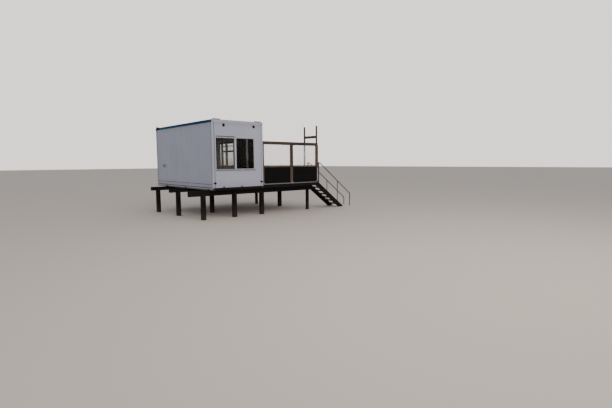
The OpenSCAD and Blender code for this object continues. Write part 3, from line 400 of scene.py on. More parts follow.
made = [(timberMaterial(name, *recipe), members) for name, *recipe, members in timberUse]
made += [(sheetMaterial(name, look), members) for name, look, members in sheetUse]
made += [
    (tubeMaterial("galvanisedTube", tubeLook), ("portal_posts", "portal_crossbar", "handrails")),
    (profileMaterial("windowProfile", profileLook),
     ("front_window_frame", "front_window_sashes", "deck_window_frame", "deck_window_sashes")),
    (profileMaterial("dullAluminium", stripLook), ("deck_edge_strip",)),
    (glassMaterial("floatGlass", paneLook), ("front_window_glass", "deck_window_glass")),
    (glassMaterial("clearScreenSheet", sheetLook), ("clear_panes",)),
]
made += [(smallMaterial(name, look), ()) for name, look in smallLooks.items()]
materials = {}
for material, members in made:
    materials[material.name] = material
    for member in members:
        nodes[member].material_slots[0].material = material
print("materials:", len(materials))


# Small ironwork, seals and joinery. Each piece is set from the solids that carry it.

faceTurn = {"front": 0, "deck": 90, "back": 180, "left": -90}
sunk = 0.0005  # metres that a piece goes into the solid that carries it, so that no gap is left
laid = 0.0004  # the same for pieces that lie on the windows and the door


def facing(face, point):  # a place whose local z points out of the face, or upwards for "up"
    place = Matrix.Translation(point)
    if face != "up":
        place = place @ Matrix.Rotation(math.radians(faceTurn[face]), 4, "Z")
        place = place @ Matrix.Rotation(math.pi / 2, 4, "X")
    return place


def solidBoxes(name):  # lowest and highest corner of every solid of a node, from a merged copy
    copy = bmesh.new()
    copy.from_mesh(nodes[name].data)
    bmesh.ops.remove_doubles(copy, verts=copy.verts[:], dist=1e-5)
    seen = set()
    found = []
    for first in copy.verts:
        if first in seen:
            continue
        seen.add(first)
        group = [first]
        for vert in group:
            for edge in vert.link_edges:
                other = edge.other_vert(vert)
                if other not in seen:
                    seen.add(other)
                    group.append(other)
        corners = [[vert.co[i] for vert in group] for i in range(3)]
        found.append((Vector([min(side) for side in corners]), Vector([max(side) for side in corners])))
    copy.free()
    return sorted(found, key=lambda pair: [round(value, 3) for value in pair[0]])


def addBar(bm, low, high, bevel=0.0, turn=None):
    low = Vector(low)
    high = Vector(high)
    place = Matrix.Translation((low + high) / 2) @ (turn or Matrix()) @ Matrix.Diagonal((*(high - low), 1))
    made = bmesh.ops.create_cube(bm, size=1.0, matrix=place)
    if bevel:
        edges = list({edge for vert in made["verts"] for edge in vert.link_edges})
        bmesh.ops.bevel(bm, geom=edges, offset=bevel, affect="EDGES", segments=1, profile=0.5, material=-1)


def addRod(bm, place, foot, head, length, sides):  # radii at its foot and head; its middle is at the place
    bmesh.ops.create_cone(bm, cap_ends=True, segments=sides, radius1=foot, radius2=head, depth=length,
                          matrix=place)


def addStud(bm, point, face, radius, height, sides, taper=0.75):  # screw or bolt head on a face
    place = facing(face, point) @ Matrix.Translation((0, 0, (height - sunk) / 2))
    addRod(bm, place, radius, radius * taper, height + sunk, sides)


def addRing(bm, centre, face, width, height, band, depth):  # flat frame that stands out of a face
    place = facing(face, centre)
    sheet = bmesh.ops.create_grid(bm, x_segments=1, y_segments=1, size=0.5,
                                  matrix=place @ Matrix.Diagonal((width, height, 1, 1)))
    inner = sheet["verts"][0].link_faces[0]
    rim = bmesh.ops.inset_region(bm, faces=[inner], thickness=band, use_boundary=True,
                                 use_even_offset=True)["faces"]
    bmesh.ops.delete(bm, geom=[inner], context="FACES")
    raised = bmesh.ops.extrude_face_region(bm, geom=rim)["geom"]
    bmesh.ops.translate(bm, vec=place.to_3x3() @ Vector((0, 0, depth)),
                        verts=[part for part in raised if isinstance(part, bmesh.types.BMVert)])


def finishPiece(name, bm, material, smooth=False):
    bmesh.ops.recalc_face_normals(bm, faces=bm.faces[:])
    mesh = bpy.data.meshes.new(name)
    bm.to_mesh(mesh)
    bm.free()
    mesh.materials.append(materials[material])
    if smooth:
        mesh.shade_smooth()
        mesh.set_sharp_from_angle(angle=math.radians(35))
    piece = bpy.data.objects.new(name, mesh)
    scene.collection.objects.link(piece)
    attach(piece, "root")


def ends(low, high, inset):  # two places, each this far inside its end
    return low + inset, high - inset


def steps(low, high, pitch, inset=0.0):  # evenly spaced places from inset to inset, at most a pitch apart
    low, high = ends(low, high, inset)
    count = max(1, math.ceil((high - low) / pitch))
    return [low + (high - low) * i / count for i in range(count + 1)]


# Lengths are in metres. A screw, bolt or washer is given as radius, height, number of sides and, where it
# isn't the usual one, taper.

# Pile heads: a strap over each side of the joint, cleats where the post is thinner than its beam.
strap = {"width": 0.055, "thickness": 0.005, "below": 0.17, "above": 0.095, "shelf": 0.006,
         "rows": (-0.135, -0.06, 0.06), "thinRows": (-0.13, -0.06), "bolt": (0.011, 0.009, 6)}
bm = bmesh.new()
beams = {"pile_row_front": "cap_beam_front", "pile_row_middle": "cap_beam_middle",
         "pile_row_back": "cap_beam_back"}
piles = [(low, high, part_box(beams[row])) for row in beams for low, high in solidBoxes(row)]
for low, high in solidBoxes("deck_posts"):
    beam = min((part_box(name) for name in beams.values()),
               key=lambda box: abs(box[0].y + box[1].y - low.y - high.y))
    piles.append((low, high, beam))
for low, high, beam in piles:
    midX = (low.x + high.x) / 2
    half = strap["width"] / 2
    thin = high.y - low.y < beam[1].y - beam[0].y - 0.01
    top = high.z if thin else high.z + strap["above"]
    for face, y, out in (("front", low.y, -1), ("back", high.y, 1)):
        far = y + out * strap["thickness"]
        addBar(bm, (midX - half, min(y, far), high.z - strap["below"]),
               (midX + half, max(y, far), top), bevel=0.0012)
        if thin:
            edge = beam[0].y if out < 0 else beam[1].y
            addBar(bm, (midX - half, min(y, edge), high.z - strap["shelf"]),
                   (midX + half, max(y, edge), high.z), bevel=0.0012)
        for row in strap["thinRows" if thin else "rows"]:
            addStud(bm, (midX, far, high.z + row), face, *strap["bolt"])
finishPiece("pile_head_straps", bm, "tarredIron")

# Cleats that hold the cabin's base frame down on the cap beams.
cleat = {"half": 0.035, "reach": 0.06, "height": 0.06, "thickness": 0.007, "boltOut": 0.035,
         "bolt": (0.010, 0.008, 6)}
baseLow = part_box("base_side_rails")[0]
bm = bmesh.new()
for name in beams.values():
    low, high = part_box(name)
    midY = (low.y + high.y) / 2
    for out, rise in (("reach", "thickness"), ("thickness", "height")):
        addBar(bm, (baseLow.x - cleat[out], midY - cleat["half"], high.z),
               (baseLow.x, midY + cleat["half"], high.z + cleat[rise]), bevel=0.001)
    addStud(bm, (baseLow.x - cleat["boltOut"], midY, high.z + cleat["thickness"]), "up", *cleat["bolt"])
finishPiece("base_frame_cleats", bm, "tarredIron")

# Timber joints: bolts through the rim boards into the joists, brackets at the feet of the posts.
rimBolt = {"bolt": (0.008, 0.005, 6), "fromFoot": 0.04, "fromHead": 0.035, "inset": 0.3, "pitch": 0.62}
rimLow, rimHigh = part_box("deck_rim")
joists = solidBoxes("deck_joists")
spots = [(((low.x + high.x) / 2, rimLow.y), "front", low.z, high.z) for low, high in joists]
spots += [((rimHigh.x, y), "deck", rimLow.z, rimHigh.z)
          for y in steps(rimLow.y, rimHigh.y, rimBolt["pitch"], rimBolt["inset"])]
bm = bmesh.new()
for place, face, foot, head in spots:
    for z in (foot + rimBolt["fromFoot"], head - rimBolt["fromHead"]):
        addStud(bm, (*place, z), face, *rimBolt["bolt"])
finishPiece("rim_board_bolts", bm, "tarredIron")

bracket = {"half": 0.025, "leg": 0.07, "thickness": 0.0035, "screwsAcross": (-0.012, 0.012),
           "screwsAlong": (0.025, 0.052), "screw": (0.0045, 0.0015, 6)}
deckTop = deckHigh.z
nearEdge = 0.05  # a post or board this near the deck's edge belongs to that side
bm = bmesh.new()
for low, high in solidBoxes("screen_posts"):
    face, edge, out = "left", low.x, -1
    if low.y < deckLow.y + nearEdge:
        face, edge, out = "back", high.y, 1
    elif high.y > deckHigh.y - nearEdge:
        face, edge, out = "front", low.y, -1
    along = (low.y + high.y) / 2 if face == "left" else (low.x + high.x) / 2
    near = edge + out * bracket["thickness"]
    far = edge + out * bracket["leg"]
    foot = deckTop + bracket["thickness"]
    order = 1 if face == "left" else -1  # turns a place out of the post and along it into x and y
    for reach, top in ((near, deckTop + bracket["leg"]), (far, foot)):
        low, high = zip(sorted((edge, reach)), ends(along, along, -bracket["half"]))
        addBar(bm, (*low[::order], deckTop), (*high[::order], top), bevel=0.0008)
    for shift in bracket["screwsAcross"]:
        for height in bracket["screwsAlong"]:
            wall = (near, along + shift)[::order]
            flat = (edge + out * height, along + shift)[::order]
            addStud(bm, (*wall, deckTop + height), face, *bracket["screw"])
            addStud(bm, (*flat, foot), "up", *bracket["screw"])
finishPiece("post_foot_brackets", bm, "zincPlate")

# Deck screws: two in every board over each joist, and the screws of the light strip.
deckScrew = {"inset": 0.035, "screw": (0.0045, 0.0008, 6), "stripInset": 0.06, "stripPitch": 0.4,
             "stripScrew": (0.006, 0.002, 8)}
bm = bmesh.new()
for low, high in solidBoxes("deck_planks"):
    for joistLow, joistHigh in joists:
        for y in ends(low.y, high.y, deckScrew["inset"]):
            addStud(bm, ((joistLow.x + joistHigh.x) / 2, y, high.z), "up", *deckScrew["screw"])
finishPiece("deck_screws", bm, "zincPlate")
stripLow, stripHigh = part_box("deck_edge_strip")
bm = bmesh.new()
for x in steps(stripLow.x, stripHigh.x, deckScrew["stripPitch"], deckScrew["stripInset"]):
    addStud(bm, (x, stripLow.y, (stripLow.z + stripHigh.z) / 2), "front", *deckScrew["stripScrew"])
finishPiece("edge_strip_screws", bm, "zincPlate")

# Glazing beads that hold the clear screen sheets, on both faces.
bead = {"width": 0.012, "depth": 0.014, "seat": 0.010}
bm = bmesh.new()
for low, high in solidBoxes("clear_panes"):
    middle = (low + high) / 2
    width = high.x - low.x - 2 * bead["seat"]
    height = high.z - low.z - 2 * bead["seat"]
    for face, y in (("front", low.y), ("back", high.y)):
        addRing(bm, (middle.x, y, middle.z), face, width, height, bead["width"], bead["depth"])
finishPiece("screen_glazing_beads", bm, "stainedRail")

# Cover boards over the screen's front posts, black battens along the boards' feet, and the corner's guard.
cover = {"over": 0.012, "thickness": 0.014, "upperLeft": 0.056, "lowerLeft": 0.040, "joint": 0.002,
         "battenRise": 0.004, "battenDrop": 0.040, "battenDepth": 0.008, "battenFrom": 0.012,
         "battenTo": 0.034, "runOnDepth": 0.010, "runOn": 0.036, "guardDepth": 0.006,
         "guardFrom": 0.046, "guardTo": 0.004, "guardTop": 0.03}
midPost, cornerPost = [box for box in solidBoxes("screen_posts") if box[0].y < deckLow.y + nearEdge][1:]
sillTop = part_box("low_rails")[0].z
over = cover["over"]
joint = cover["joint"]
midCovers = ((*midPost, -over - cover["upperLeft"], over, sillTop, midPost[1].z),)
paleCovers = ((*midPost, -over - cover["lowerLeft"], -joint, deckTop + joint, sillTop - joint),
              (*cornerPost, -over, over, sillTop, cornerPost[1].z))
for name, material, covers in (("post_cover_board", "stainedCover", midCovers),
                               ("post_pale_covers", "stainedPost", paleCovers)):
    bm = bmesh.new()
    for low, high, leftOver, rightOver, foot, head in covers:
        addBar(bm, (low.x + leftOver, low.y - cover["thickness"], foot),
               (high.x + rightOver, low.y + sunk, head), bevel=0.003)
    finishPiece(name, bm, material)
bm = bmesh.new()
for low, high in solidBoxes("black_boards"):
    if low.y < deckLow.y + nearEdge:
        foot = deckTop - cover["battenDrop"]
        head = deckTop + cover["battenRise"]
        addBar(bm, (low.x + cover["battenFrom"], stripLow.y - cover["battenDepth"], foot),
               (high.x - cover["battenTo"], stripLow.y + sunk, head), bevel=0.002)
low, high = cornerPost  # the boards run on over part of the corner post, and a light guard covers the rest
addBar(bm, (low.x - joint, low.y - cover["runOnDepth"], deckTop + joint),
       (low.x + cover["runOn"], low.y + sunk, sillTop - joint), bevel=0.002)
finishPiece("board_foot_battens", bm, "blackPaintedBoard")
bm = bmesh.new()
addBar(bm, (low.x + cover["guardFrom"], low.y - cover["guardDepth"], deckTop + joint),
       (high.x - cover["guardTo"], low.y + sunk, sillTop - cover["guardTop"]), bevel=0.0015)
finishPiece("corner_guard", bm, "paintedFrameSteel")

# Boards that double the thin posts under the deck.
doubler = {"thinPost": 0.12, "thickness": 0.014, "inset": 0.004, "fromHead": 0.015}
bm = bmesh.new()
for low, high in solidBoxes("deck_posts"):
    if high.x - low.x < doubler["thinPost"]:
        for x in (low.x - doubler["thickness"], high.x - sunk):
            addBar(bm, (x, low.y + doubler["inset"], 0.0),
                   (x + doubler["thickness"] + sunk, high.y - doubler["inset"],
                    high.z - doubler["fromHead"]), bevel=0.002)
finishPiece("deck_post_doublers", bm, "tarredPile")

# Screws of the black boards, painted over with them.
boardScrew = {"edge": 0.03, "foot": 0.06, "head": 0.05, "upPitch": 0.26, "inset": 0.3, "alongPitch": 0.4,
              "screw": (0.005, 0.0015, 6)}
edge = boardScrew["edge"]
bm = bmesh.new()
for low, high in solidBoxes("black_boards"):
    heights = steps(low.z + boardScrew["foot"], high.z - boardScrew["head"], boardScrew["upPitch"])
    if high.x - low.x > high.y - low.y:
        face, y = ("front", low.y) if low.y < deckLow.y + nearEdge else ("back", high.y)
        along = steps(low.x, high.x, boardScrew["alongPitch"], boardScrew["inset"])
        spots = [((x, y, z), face) for x in ends(low.x, high.x, edge) for z in heights]
        spots += [((x, y, z), face) for x in along for z in ends(low.z, high.z, edge)]
    else:
        spots = [((high.x, y, z), "deck") for y in ends(low.y, high.y, edge) for z in heights]
    for point, face in spots:
        addStud(bm, point, face, *boardScrew["screw"])
finishPiece("board_screws", bm, "tarredIron")
print("timber fixings made")

# Window seals and fittings: gasket on both faces of every pane, pile strip where the sashes pass.
gasket = {"band": 0.007, "depth": 0.004}
bm = bmesh.new()
for name, faces in (("front_window_glass", ("front", "back")), ("deck_window_glass", ("left", "deck"))):
    for low, high in solidBoxes(name):
        middle = (low + high) / 2
        for face, corner in zip(faces, (low, high)):
            if faces[0] == "front":
                centre, width = (middle.x, corner.y, middle.z), high.x - low.x
            else:
                centre, width = (corner.x, middle.y, middle.z), high.y - low.y
            addRing(bm, centre, face, width, high.z - low.z, gasket["band"], gasket["depth"])
finishPiece("pane_gaskets", bm, "blackRubber")

pile = {"left": 0.027, "right": 0.006, "ends": 0.012, "track": 0.011, "half": 0.003, "depth": 0.0022,
        "trackLeft": 0.004, "trackRight": 0.028}
sashInner, sashOuter = solidBoxes("front_window_sashes")
bm = bmesh.new()
# the strip beside the outer sash's meeting stile is partly painted shade: it stands for the shadow that the
# outer sash casts on the inner one
addBar(bm, (sashOuter[0].x - pile["left"], sashOuter[1].y + laid, sashInner[0].z + pile["ends"]),
       (sashOuter[0].x + pile["right"], sashInner[0].y + sunk, sashInner[1].z - pile["ends"]))
for z in ends(sashInner[0].z, sashInner[1].z, pile["track"]):  # along the inner track
    foot, head = ends(z, z, -pile["half"])
    addBar(bm, (sashInner[0].x + pile["trackLeft"], sashInner[0].y - pile["depth"], foot),
           (sashOuter[0].x - pile["trackRight"], sashInner[0].y + sunk, head))
finishPiece("sash_pile_and_shade_strips", bm, "blackRubber")

# Trickle vent over the left light: its housing hangs before the top of the glass, its slot is above.
frameLow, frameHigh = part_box("front_window_frame")
frameFace = frameLow.y + 0.026  # outer face of the frame, behind the nose of the drip sill
openTop = frameHigh.z - 0.028  # head of the frame's opening, from which heights are counted here
vent = {"slot": (-0.011, 0.013), "slotOut": 0.0025, "slotIn": 0.0075, "housing": (-0.058, -0.027),
        "depth": 0.028, "clear": 0.001, "stop": (-0.054, -0.0435), "stopLeft": 0.074, "stopRight": 0.042,
        "stopThin": 0.003}
bm = bmesh.new()
low, high = vent["slot"]
addBar(bm, (sashInner[0].x, frameFace - vent["slotOut"], openTop + low),
       (sashOuter[0].x, frameFace + vent["slotIn"], openTop + high), bevel=0.0008)
finishPiece("trickle_vent_slot", bm, "blackRubber")
bm = bmesh.new()
low, high = vent["housing"]
addBar(bm, (sashInner[0].x + vent["clear"], sashInner[0].y - vent["depth"], openTop + low),
       (sashOuter[0].x - vent["clear"], sashInner[0].y + laid, openTop + high), bevel=0.004)
low, high = vent["stop"]  # strip along the head of the right light
near, far = ends(sashOuter[0].y, sashOuter[1].y, vent["stopThin"])
addBar(bm, (sashOuter[0].x + vent["stopLeft"], near, openTop + low),
       (sashOuter[1].x - vent["stopRight"], far, openTop + high), bevel=0.003)
finishPiece("trickle_vent_housing", bm, "windowProfile")

# Pull of the outer sash, its plate and grip given as half width, reach from the sash's face and heights;
# and covers over the weep slots.
pull = {"inset": 0.037, "plate": (0.012, (-0.005, laid), (2.22, 2.36)),
        "grip": (0.006, (-0.016, -0.004), (2.25, 2.33)), "weepInset": 0.25, "weepHalf": 0.022,
        "weepReach": (0.0235, 0.0268), "weepRise": (0.041, 0.049)}
bm = bmesh.new()
pullX = sashOuter[0].x + pull["inset"]
for half, reach, heights in (pull["plate"], pull["grip"]):
    addBar(bm, (pullX - half, sashOuter[0].y + reach[0], heights[0]),
           (pullX + half, sashOuter[0].y + reach[1], heights[1]), bevel=0.0025)
low, high = zip(pull["weepReach"], pull["weepRise"])
for x in ends(frameLow.x, frameHigh.x, pull["weepInset"]):
    addBar(bm, (x - pull["weepHalf"], frameLow.y + low[0], frameLow.z + low[1]),
           (x + pull["weepHalf"], frameLow.y + high[0], frameLow.z + high[1]), bevel=0.001)
finishPiece("sash_pull", bm, "windowProfile", smooth=True)

# Glazing bars on both faces of the deck window's two divided lights, and the board along its head.
deckBar = {"upper": (-0.186, -0.150), "lower": (-0.072, -0.022), "depth": 0.007, "headDrop": 0.072,
           "headDepth": 0.012}
upperPanes = [box for box in solidBoxes("deck_window_glass") if box[0].z > 2.5]
bm = bmesh.new()
for low, high in upperPanes:
    for x in (low.x - deckBar["depth"], high.x - laid):
        for z, (foot, head) in ((high.z, deckBar["upper"]), (low.z, deckBar["lower"])):
            addBar(bm, (x, low.y, z + foot), (x + deckBar["depth"] + laid, high.y, z + head), bevel=0.002)
finishPiece("deck_window_bars", bm, "windowProfile")
frameDeckLow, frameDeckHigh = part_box("deck_window_frame")
bm = bmesh.new()
glassTop = max(high.z for low, high in upperPanes)
addBar(bm, (frameDeckLow.x - deckBar["headDepth"], frameDeckLow.y, glassTop - deckBar["headDrop"]),
       (frameDeckLow.x + sunk, frameDeckHigh.y, frameDeckHigh.z), bevel=0.003)
finishPiece("deck_window_head_board", bm, "stainedPost")

# Metal upright behind the right light, screwed to the frame's head and sill: a pale band in the dark.
upright = {"left": -2.012, "right": -1.932, "thickness": 0.008, "ends": 0.012, "screwRows": 0.03,
           "screwInset": 0.015, "screw": (0.005, 0.002, 8)}
bm = bmesh.new()
foot, head = ends(frameLow.z, frameHigh.z, upright["ends"])
back = frameHigh.y + upright["thickness"]
addBar(bm, (upright["left"], frameHigh.y - sunk, foot), (upright["right"], back, head), bevel=0.002)
for z in ends(frameLow.z, frameHigh.z, upright["screwRows"]):
    for x in ends(upright["left"], upright["right"], upright["screwInset"]):
        addStud(bm, (x, back, z), "back", *upright["screw"])
finishPiece("window_inner_upright", bm, "dullAluminium")
print("window fittings made")

# Cabin sheet joints: black mastic strips down the corner posts, over the base channel and at floor level.
# Those by the corner posts and over the base channel are partly painted shade, set wide to stand for the
# shadow lines there.
cornerWidth = 0.080  # of the corner posts, beside which the wall sheets begin
wallRecess = Vector((0.010, 0.010, 0))  # the sheets stand this far inside the posts' faces
wallLow = cabinLow + wallRecess
wallHigh = cabinHigh - wallRecess
bottom = cabinLow.z
top = cabinHigh.z
jointShade = {"width": 0.008, "wide": 0.021, "narrow": 0.004, "depth": 0.003, "foot": 0.016,
          "floorLevel": 0.130, "floorJoint": 0.012}
width = jointShade["width"]
depth = jointShade["depth"]
xJoints = ((cabinLow.x + cornerWidth, jointShade["wide"]),
           (cabinHigh.x - cornerWidth - jointShade["narrow"], jointShade["narrow"]))
yJoints = ((cabinLow.y + cornerWidth, jointShade["wide"]), (cabinHigh.y - cornerWidth - width, width))
inside = cornerWidth + width
bm = bmesh.new()
for y in (wallLow.y - depth, wallHigh.y - sunk):
    for x, wide in xJoints:
        addBar(bm, (x, y, bottom), (x + wide, y + depth + sunk, top))
    addBar(bm, (cabinLow.x + inside, y, bottom), (cabinHigh.x - inside, y + depth + sunk, bottom + width))
for x in (wallLow.x - depth, wallHigh.x - sunk):
    for y, wide in yJoints:
        addBar(bm, (x, y, bottom), (x + depth + sunk, y + wide, top))
for z, height in ((bottom, jointShade["foot"]), (bottom + jointShade["floorLevel"], jointShade["floorJoint"])):
    addBar(bm, (wallLow.x - depth, cabinLow.y + inside, z),
           (wallLow.x + sunk, cabinHigh.y - inside, z + height))
finishPiece("sheet_joint_shade_strips", bm, "blackRubber")

# Two dark clips that hold the foot of the front sheet.
clip = {"places": (0.452, 1.231), "half": 0.026, "depth": 0.0105, "below": 0.004, "above": 0.055,
        "screwRise": 0.024, "screw": (0.006, 0.003, 6)}
bm = bmesh.new()
for place in clip["places"]:
    x = cabinLow.x + place
    addBar(bm, (x - clip["half"], wallLow.y - clip["depth"], bottom - clip["below"]),
           (x + clip["half"], wallLow.y + sunk, bottom + clip["above"]), bevel=0.0015)
    addStud(bm, (x, wallLow.y - clip["depth"], bottom + clip["screwRise"]), "front", *clip["screw"])
finishPiece("sheet_foot_clips", bm, "tarredIron")

# Rivets along both edges of every side panel, and along the heads and feet of the sheets.
rivet = {"rivet": (0.0055, 0.0022, 8), "pitch": 0.30, "edge": 0.022, "panels": 5, "fromFoot": 0.10,
         "fromHead": 0.06, "footRow": 0.045, "headRow": 0.035, "rowInset": 0.16}
pitch = rivet["pitch"]
seamPitch = (cabinHigh.y - cabinLow.y - 2 * cornerWidth) / rivet["panels"]
seams = [cabinLow.y + cornerWidth + i * seamPitch for i in range(rivet["panels"] + 1)]
columns = [seam + side * rivet["edge"] for seam in seams for side in (-1, 1)]
heights = steps(bottom + rivet["fromFoot"], top - rivet["fromHead"], pitch)
spots = [((wallLow.x, y, z), "left") for y in columns if seams[0] < y < seams[-1] for z in heights]
spots += [((x, wallHigh.y, z), "back")
          for x in ends(cabinLow.x, cabinHigh.x, cornerWidth + rivet["edge"]) for z in heights]
for z in (bottom + rivet["footRow"], top - rivet["headRow"]):
    for x in steps(cabinLow.x, cabinHigh.x, pitch, rivet["rowInset"]):
        spots += [((x, wallHigh.y, z), "back"), ((x, wallLow.y, z), "front")]
    for y in steps(cabinLow.y, cabinHigh.y, pitch, rivet["rowInset"]):
        spots.append(((wallLow.x, y, z), "left"))
bm = bmesh.new()
for point, face in spots:
    addStud(bm, point, face, *rivet["rivet"])
finishPiece("sheet_rivets", bm, "paintedRivet")

# Roof screws with their washers on every rib, and along the eaves.
roofScrew = {"ribPitch": 0.25, "plainEnds": 0.080, "inset": 0.14, "pitch": 0.5,
             "washer": (0.010, 0.0015, 8, 0.9), "screw": (0.0055, 0.005, 6, 0.9)}
ribPitch = roofScrew["ribPitch"]
roofLength = roofHigh.y - roofLow.y
ribCount = int((roofLength - roofScrew["plainEnds"]) / ribPitch)
firstRib = roofLow.y + (roofLength - (ribCount - 1) * ribPitch) / 2
bm = bmesh.new()
for i in range(ribCount):
    y = firstRib + i * ribPitch
    for x in steps(roofLow.x, roofHigh.x, roofScrew["pitch"], roofScrew["inset"]):
        addStud(bm, (x, y, roofHigh.z), "up", *roofScrew["washer"])
        addStud(bm, (x, y, roofHigh.z + 0.001), "up", *roofScrew["screw"])
finishPiece("roof_screws", bm, "zincPlate")

# Fittings of the walls: vent screws and rims, pins in the lashing sockets, screws and mesh of the grille.
ventRim = {"inset": 0.014, "screw": (0.004, 0.003, 6), "screwOut": 0.003, "screwRise": 0.004,
           "rim": (0.058, 0.056, 0.0035, 28), "rimOut": 0.0015, "rimRise": 0.045}
pin = {"radius": 0.005, "play": 0.016, "depth": 0.006}
grille = {"inset": 0.011, "screw": (0.0045, 0.002, 8), "slots": 5, "front": 0.0055, "back": 0.0075}
bm = bmesh.new()
for low, high in solidBoxes("front_vents"):
    for x in ends(low.x, high.x, ventRim["inset"]):
        addStud(bm, (x, wallLow.y - ventRim["screwOut"], low.z + ventRim["screwRise"]), "front",
                *ventRim["screw"])
    rim = ((low.x + high.x) / 2, wallLow.y - ventRim["rimOut"], low.z + ventRim["rimRise"])
    addRod(bm, facing("front", rim), *ventRim["rim"])
for low, high in solidBoxes("lashing_sockets"):
    if high.z < 2:  # the oval sockets, not the lugs on the roof
        place = Matrix.Translation(((low.x + high.x) / 2, low.y + pin["depth"], (low.z + high.z) / 2))
        addRod(bm, place, pin["radius"], pin["radius"], high.z - low.z - pin["play"], 12)
grilleLow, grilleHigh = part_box("side_grille")
for y in ends(grilleLow.y, grilleHigh.y, grille["inset"]):
    for z in ends(grilleLow.z, grilleHigh.z, grille["inset"]):
        addStud(bm, (grilleLow.x, y, z), "left", *grille["screw"])
slotPitch = (grilleHigh.z - grilleLow.z) / (grille["slots"] + 1)
for i in range(1, grille["slots"] + 1):  # insect mesh behind each louvre slot, dark so that the slots read dark: partly painted shade
    z = grilleLow.z + i * slotPitch
    addBar(bm, (grilleLow.x + grille["front"], grilleLow.y + slotPitch, z - slotPitch / 4),
           (grilleLow.x + grille["back"], grilleHigh.y - slotPitch, z + slotPitch / 4))
finishPiece("wall_fitting_screws", bm, "tarredIron")
print("cabin joints and screws made")

# Door: kick plate, cylinder, drip bar, seal and hinge leaves.
leafLow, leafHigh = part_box("door_leaf")
doorLow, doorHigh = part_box("door_frame")
leafX = leafMid + leafHalf
doorFaceX = cabinHigh.x + 0.004  # outer face of the door frame
kick = {"inset": 0.03, "foot": 0.045, "head": 0.245, "thickness": 0.0015, "screwInset": 0.045,
        "screwRows": (0.06, 0.23), "screwPitch": 0.24, "screw": (0.0045, 0.0015, 8)}
lock = {"inset": 0.065, "rise": 0.955, "rose": (0.022, 0.006, 24, 0.92), "plug": (0.009, 0.004, 20, 0.95)}
bm = bmesh.new()
near, far = ends(leafLow.y, leafHigh.y, kick["inset"])
addBar(bm, (leafX - sunk, near, leafLow.z + kick["foot"]),
       (leafX + kick["thickness"], far, leafLow.z + kick["head"]), bevel=0.0007)
for y in steps(leafLow.y, leafHigh.y, kick["screwPitch"], kick["screwInset"]):
    for row in kick["screwRows"]:
        addStud(bm, (leafX + kick["thickness"], y, leafLow.z + row), "deck", *kick["screw"])
lockY = leafHigh.y - lock["inset"]
lockZ = deckTop + lock["rise"]
addStud(bm, (leafX, lockY, lockZ), "deck", *lock["rose"])
addStud(bm, (leafX + lock["rose"][1], lockY, lockZ), "deck", *lock["plug"])
finishPiece("door_kick_plate", bm, "brushedStainless", smooth=True)

# Places along y are counted from the leaf's hinge edge.
drip = {"inset": 0.012, "foot": 0.010, "head": 0.032, "depth": 0.022}
hinge = {"fromFoot": 0.22, "fromHead": 0.32, "length": 0.10, "thickness": 0.0025,
         "onFrame": (-0.036, -0.007, -0.022), "onLeaf": (0.008, 0.040, 0.025),
         "screwRows": (0.018, 0.050, 0.082), "screw": (0.004, 0.0012, 8)}
bm = bmesh.new()
addBar(bm, (leafX - sunk, leafLow.y + drip["inset"], leafLow.z + drip["foot"]),
       (leafX + drip["depth"], leafHigh.y - drip["inset"], leafLow.z + drip["head"]), bevel=0.006)
first = leafLow.z + hinge["fromFoot"]
last = leafHigh.z - hinge["fromHead"]
for z in (first, (first + last) / 2, last):
    for x, (start, end, screw) in ((doorFaceX, hinge["onFrame"]), (leafX, hinge["onLeaf"])):
        front = x + hinge["thickness"]
        addBar(bm, (x - sunk, leafLow.y + start, z), (front, leafLow.y + end, z + hinge["length"]),
               bevel=0.0008)
        for row in hinge["screwRows"]:
            addStud(bm, (front, leafLow.y + screw, z + row), "deck", *hinge["screw"])
finishPiece("door_hinge_leaves", bm, "paintedRivet")

seal = {"gap": 0.0004, "far": 0.0036, "back": 0.036, "front": 0.006}
back = leafX - seal["back"]
front = leafX - seal["front"]
near = seal["gap"]
far = seal["far"]
bm = bmesh.new()
for start, end, foot, head in ((leafLow.y - far, leafLow.y - near, leafLow.z, leafHigh.z),
                               (leafHigh.y + near, leafHigh.y + far, leafLow.z, leafHigh.z),
                               (leafLow.y, leafHigh.y, leafHigh.z + near, leafHigh.z + far)):
    addBar(bm, (back, start, foot), (front, end, head))
finishPiece("door_seal", bm, "blackRubber")

# Pale covers on the door's inner side, the latch edge seen dimly through the front window.
inner = {"thickness": 0.004, "edge": 0.062, "inset": 0.020, "ends": 0.03, "margin": 0.003}
leafInner = leafMid - leafHalf
margin = inner["margin"]
edge = leafHigh.y - inner["inset"]
bm = bmesh.new()
addBar(bm, (leafInner - inner["thickness"], edge - inner["edge"], leafLow.z + inner["ends"]),
       (leafInner + sunk, edge, leafHigh.z - inner["ends"]), bevel=0.0012)
for start, end, foot, head in ((doorLow.y + margin, leafLow.y - margin, leafLow.z, doorHigh.z - margin),
                               (leafHigh.y + margin, doorHigh.y - margin, leafLow.z, doorHigh.z - margin),
                               (leafLow.y - margin, leafHigh.y + margin, leafHigh.z + margin,
                                doorHigh.z - margin)):
    addBar(bm, (doorLow.x - inner["thickness"], start, foot), (doorLow.x + sunk, end, head), bevel=0.0012)
finishPiece("door_inner_covers", bm, "windowProfile")
print("door fittings made")

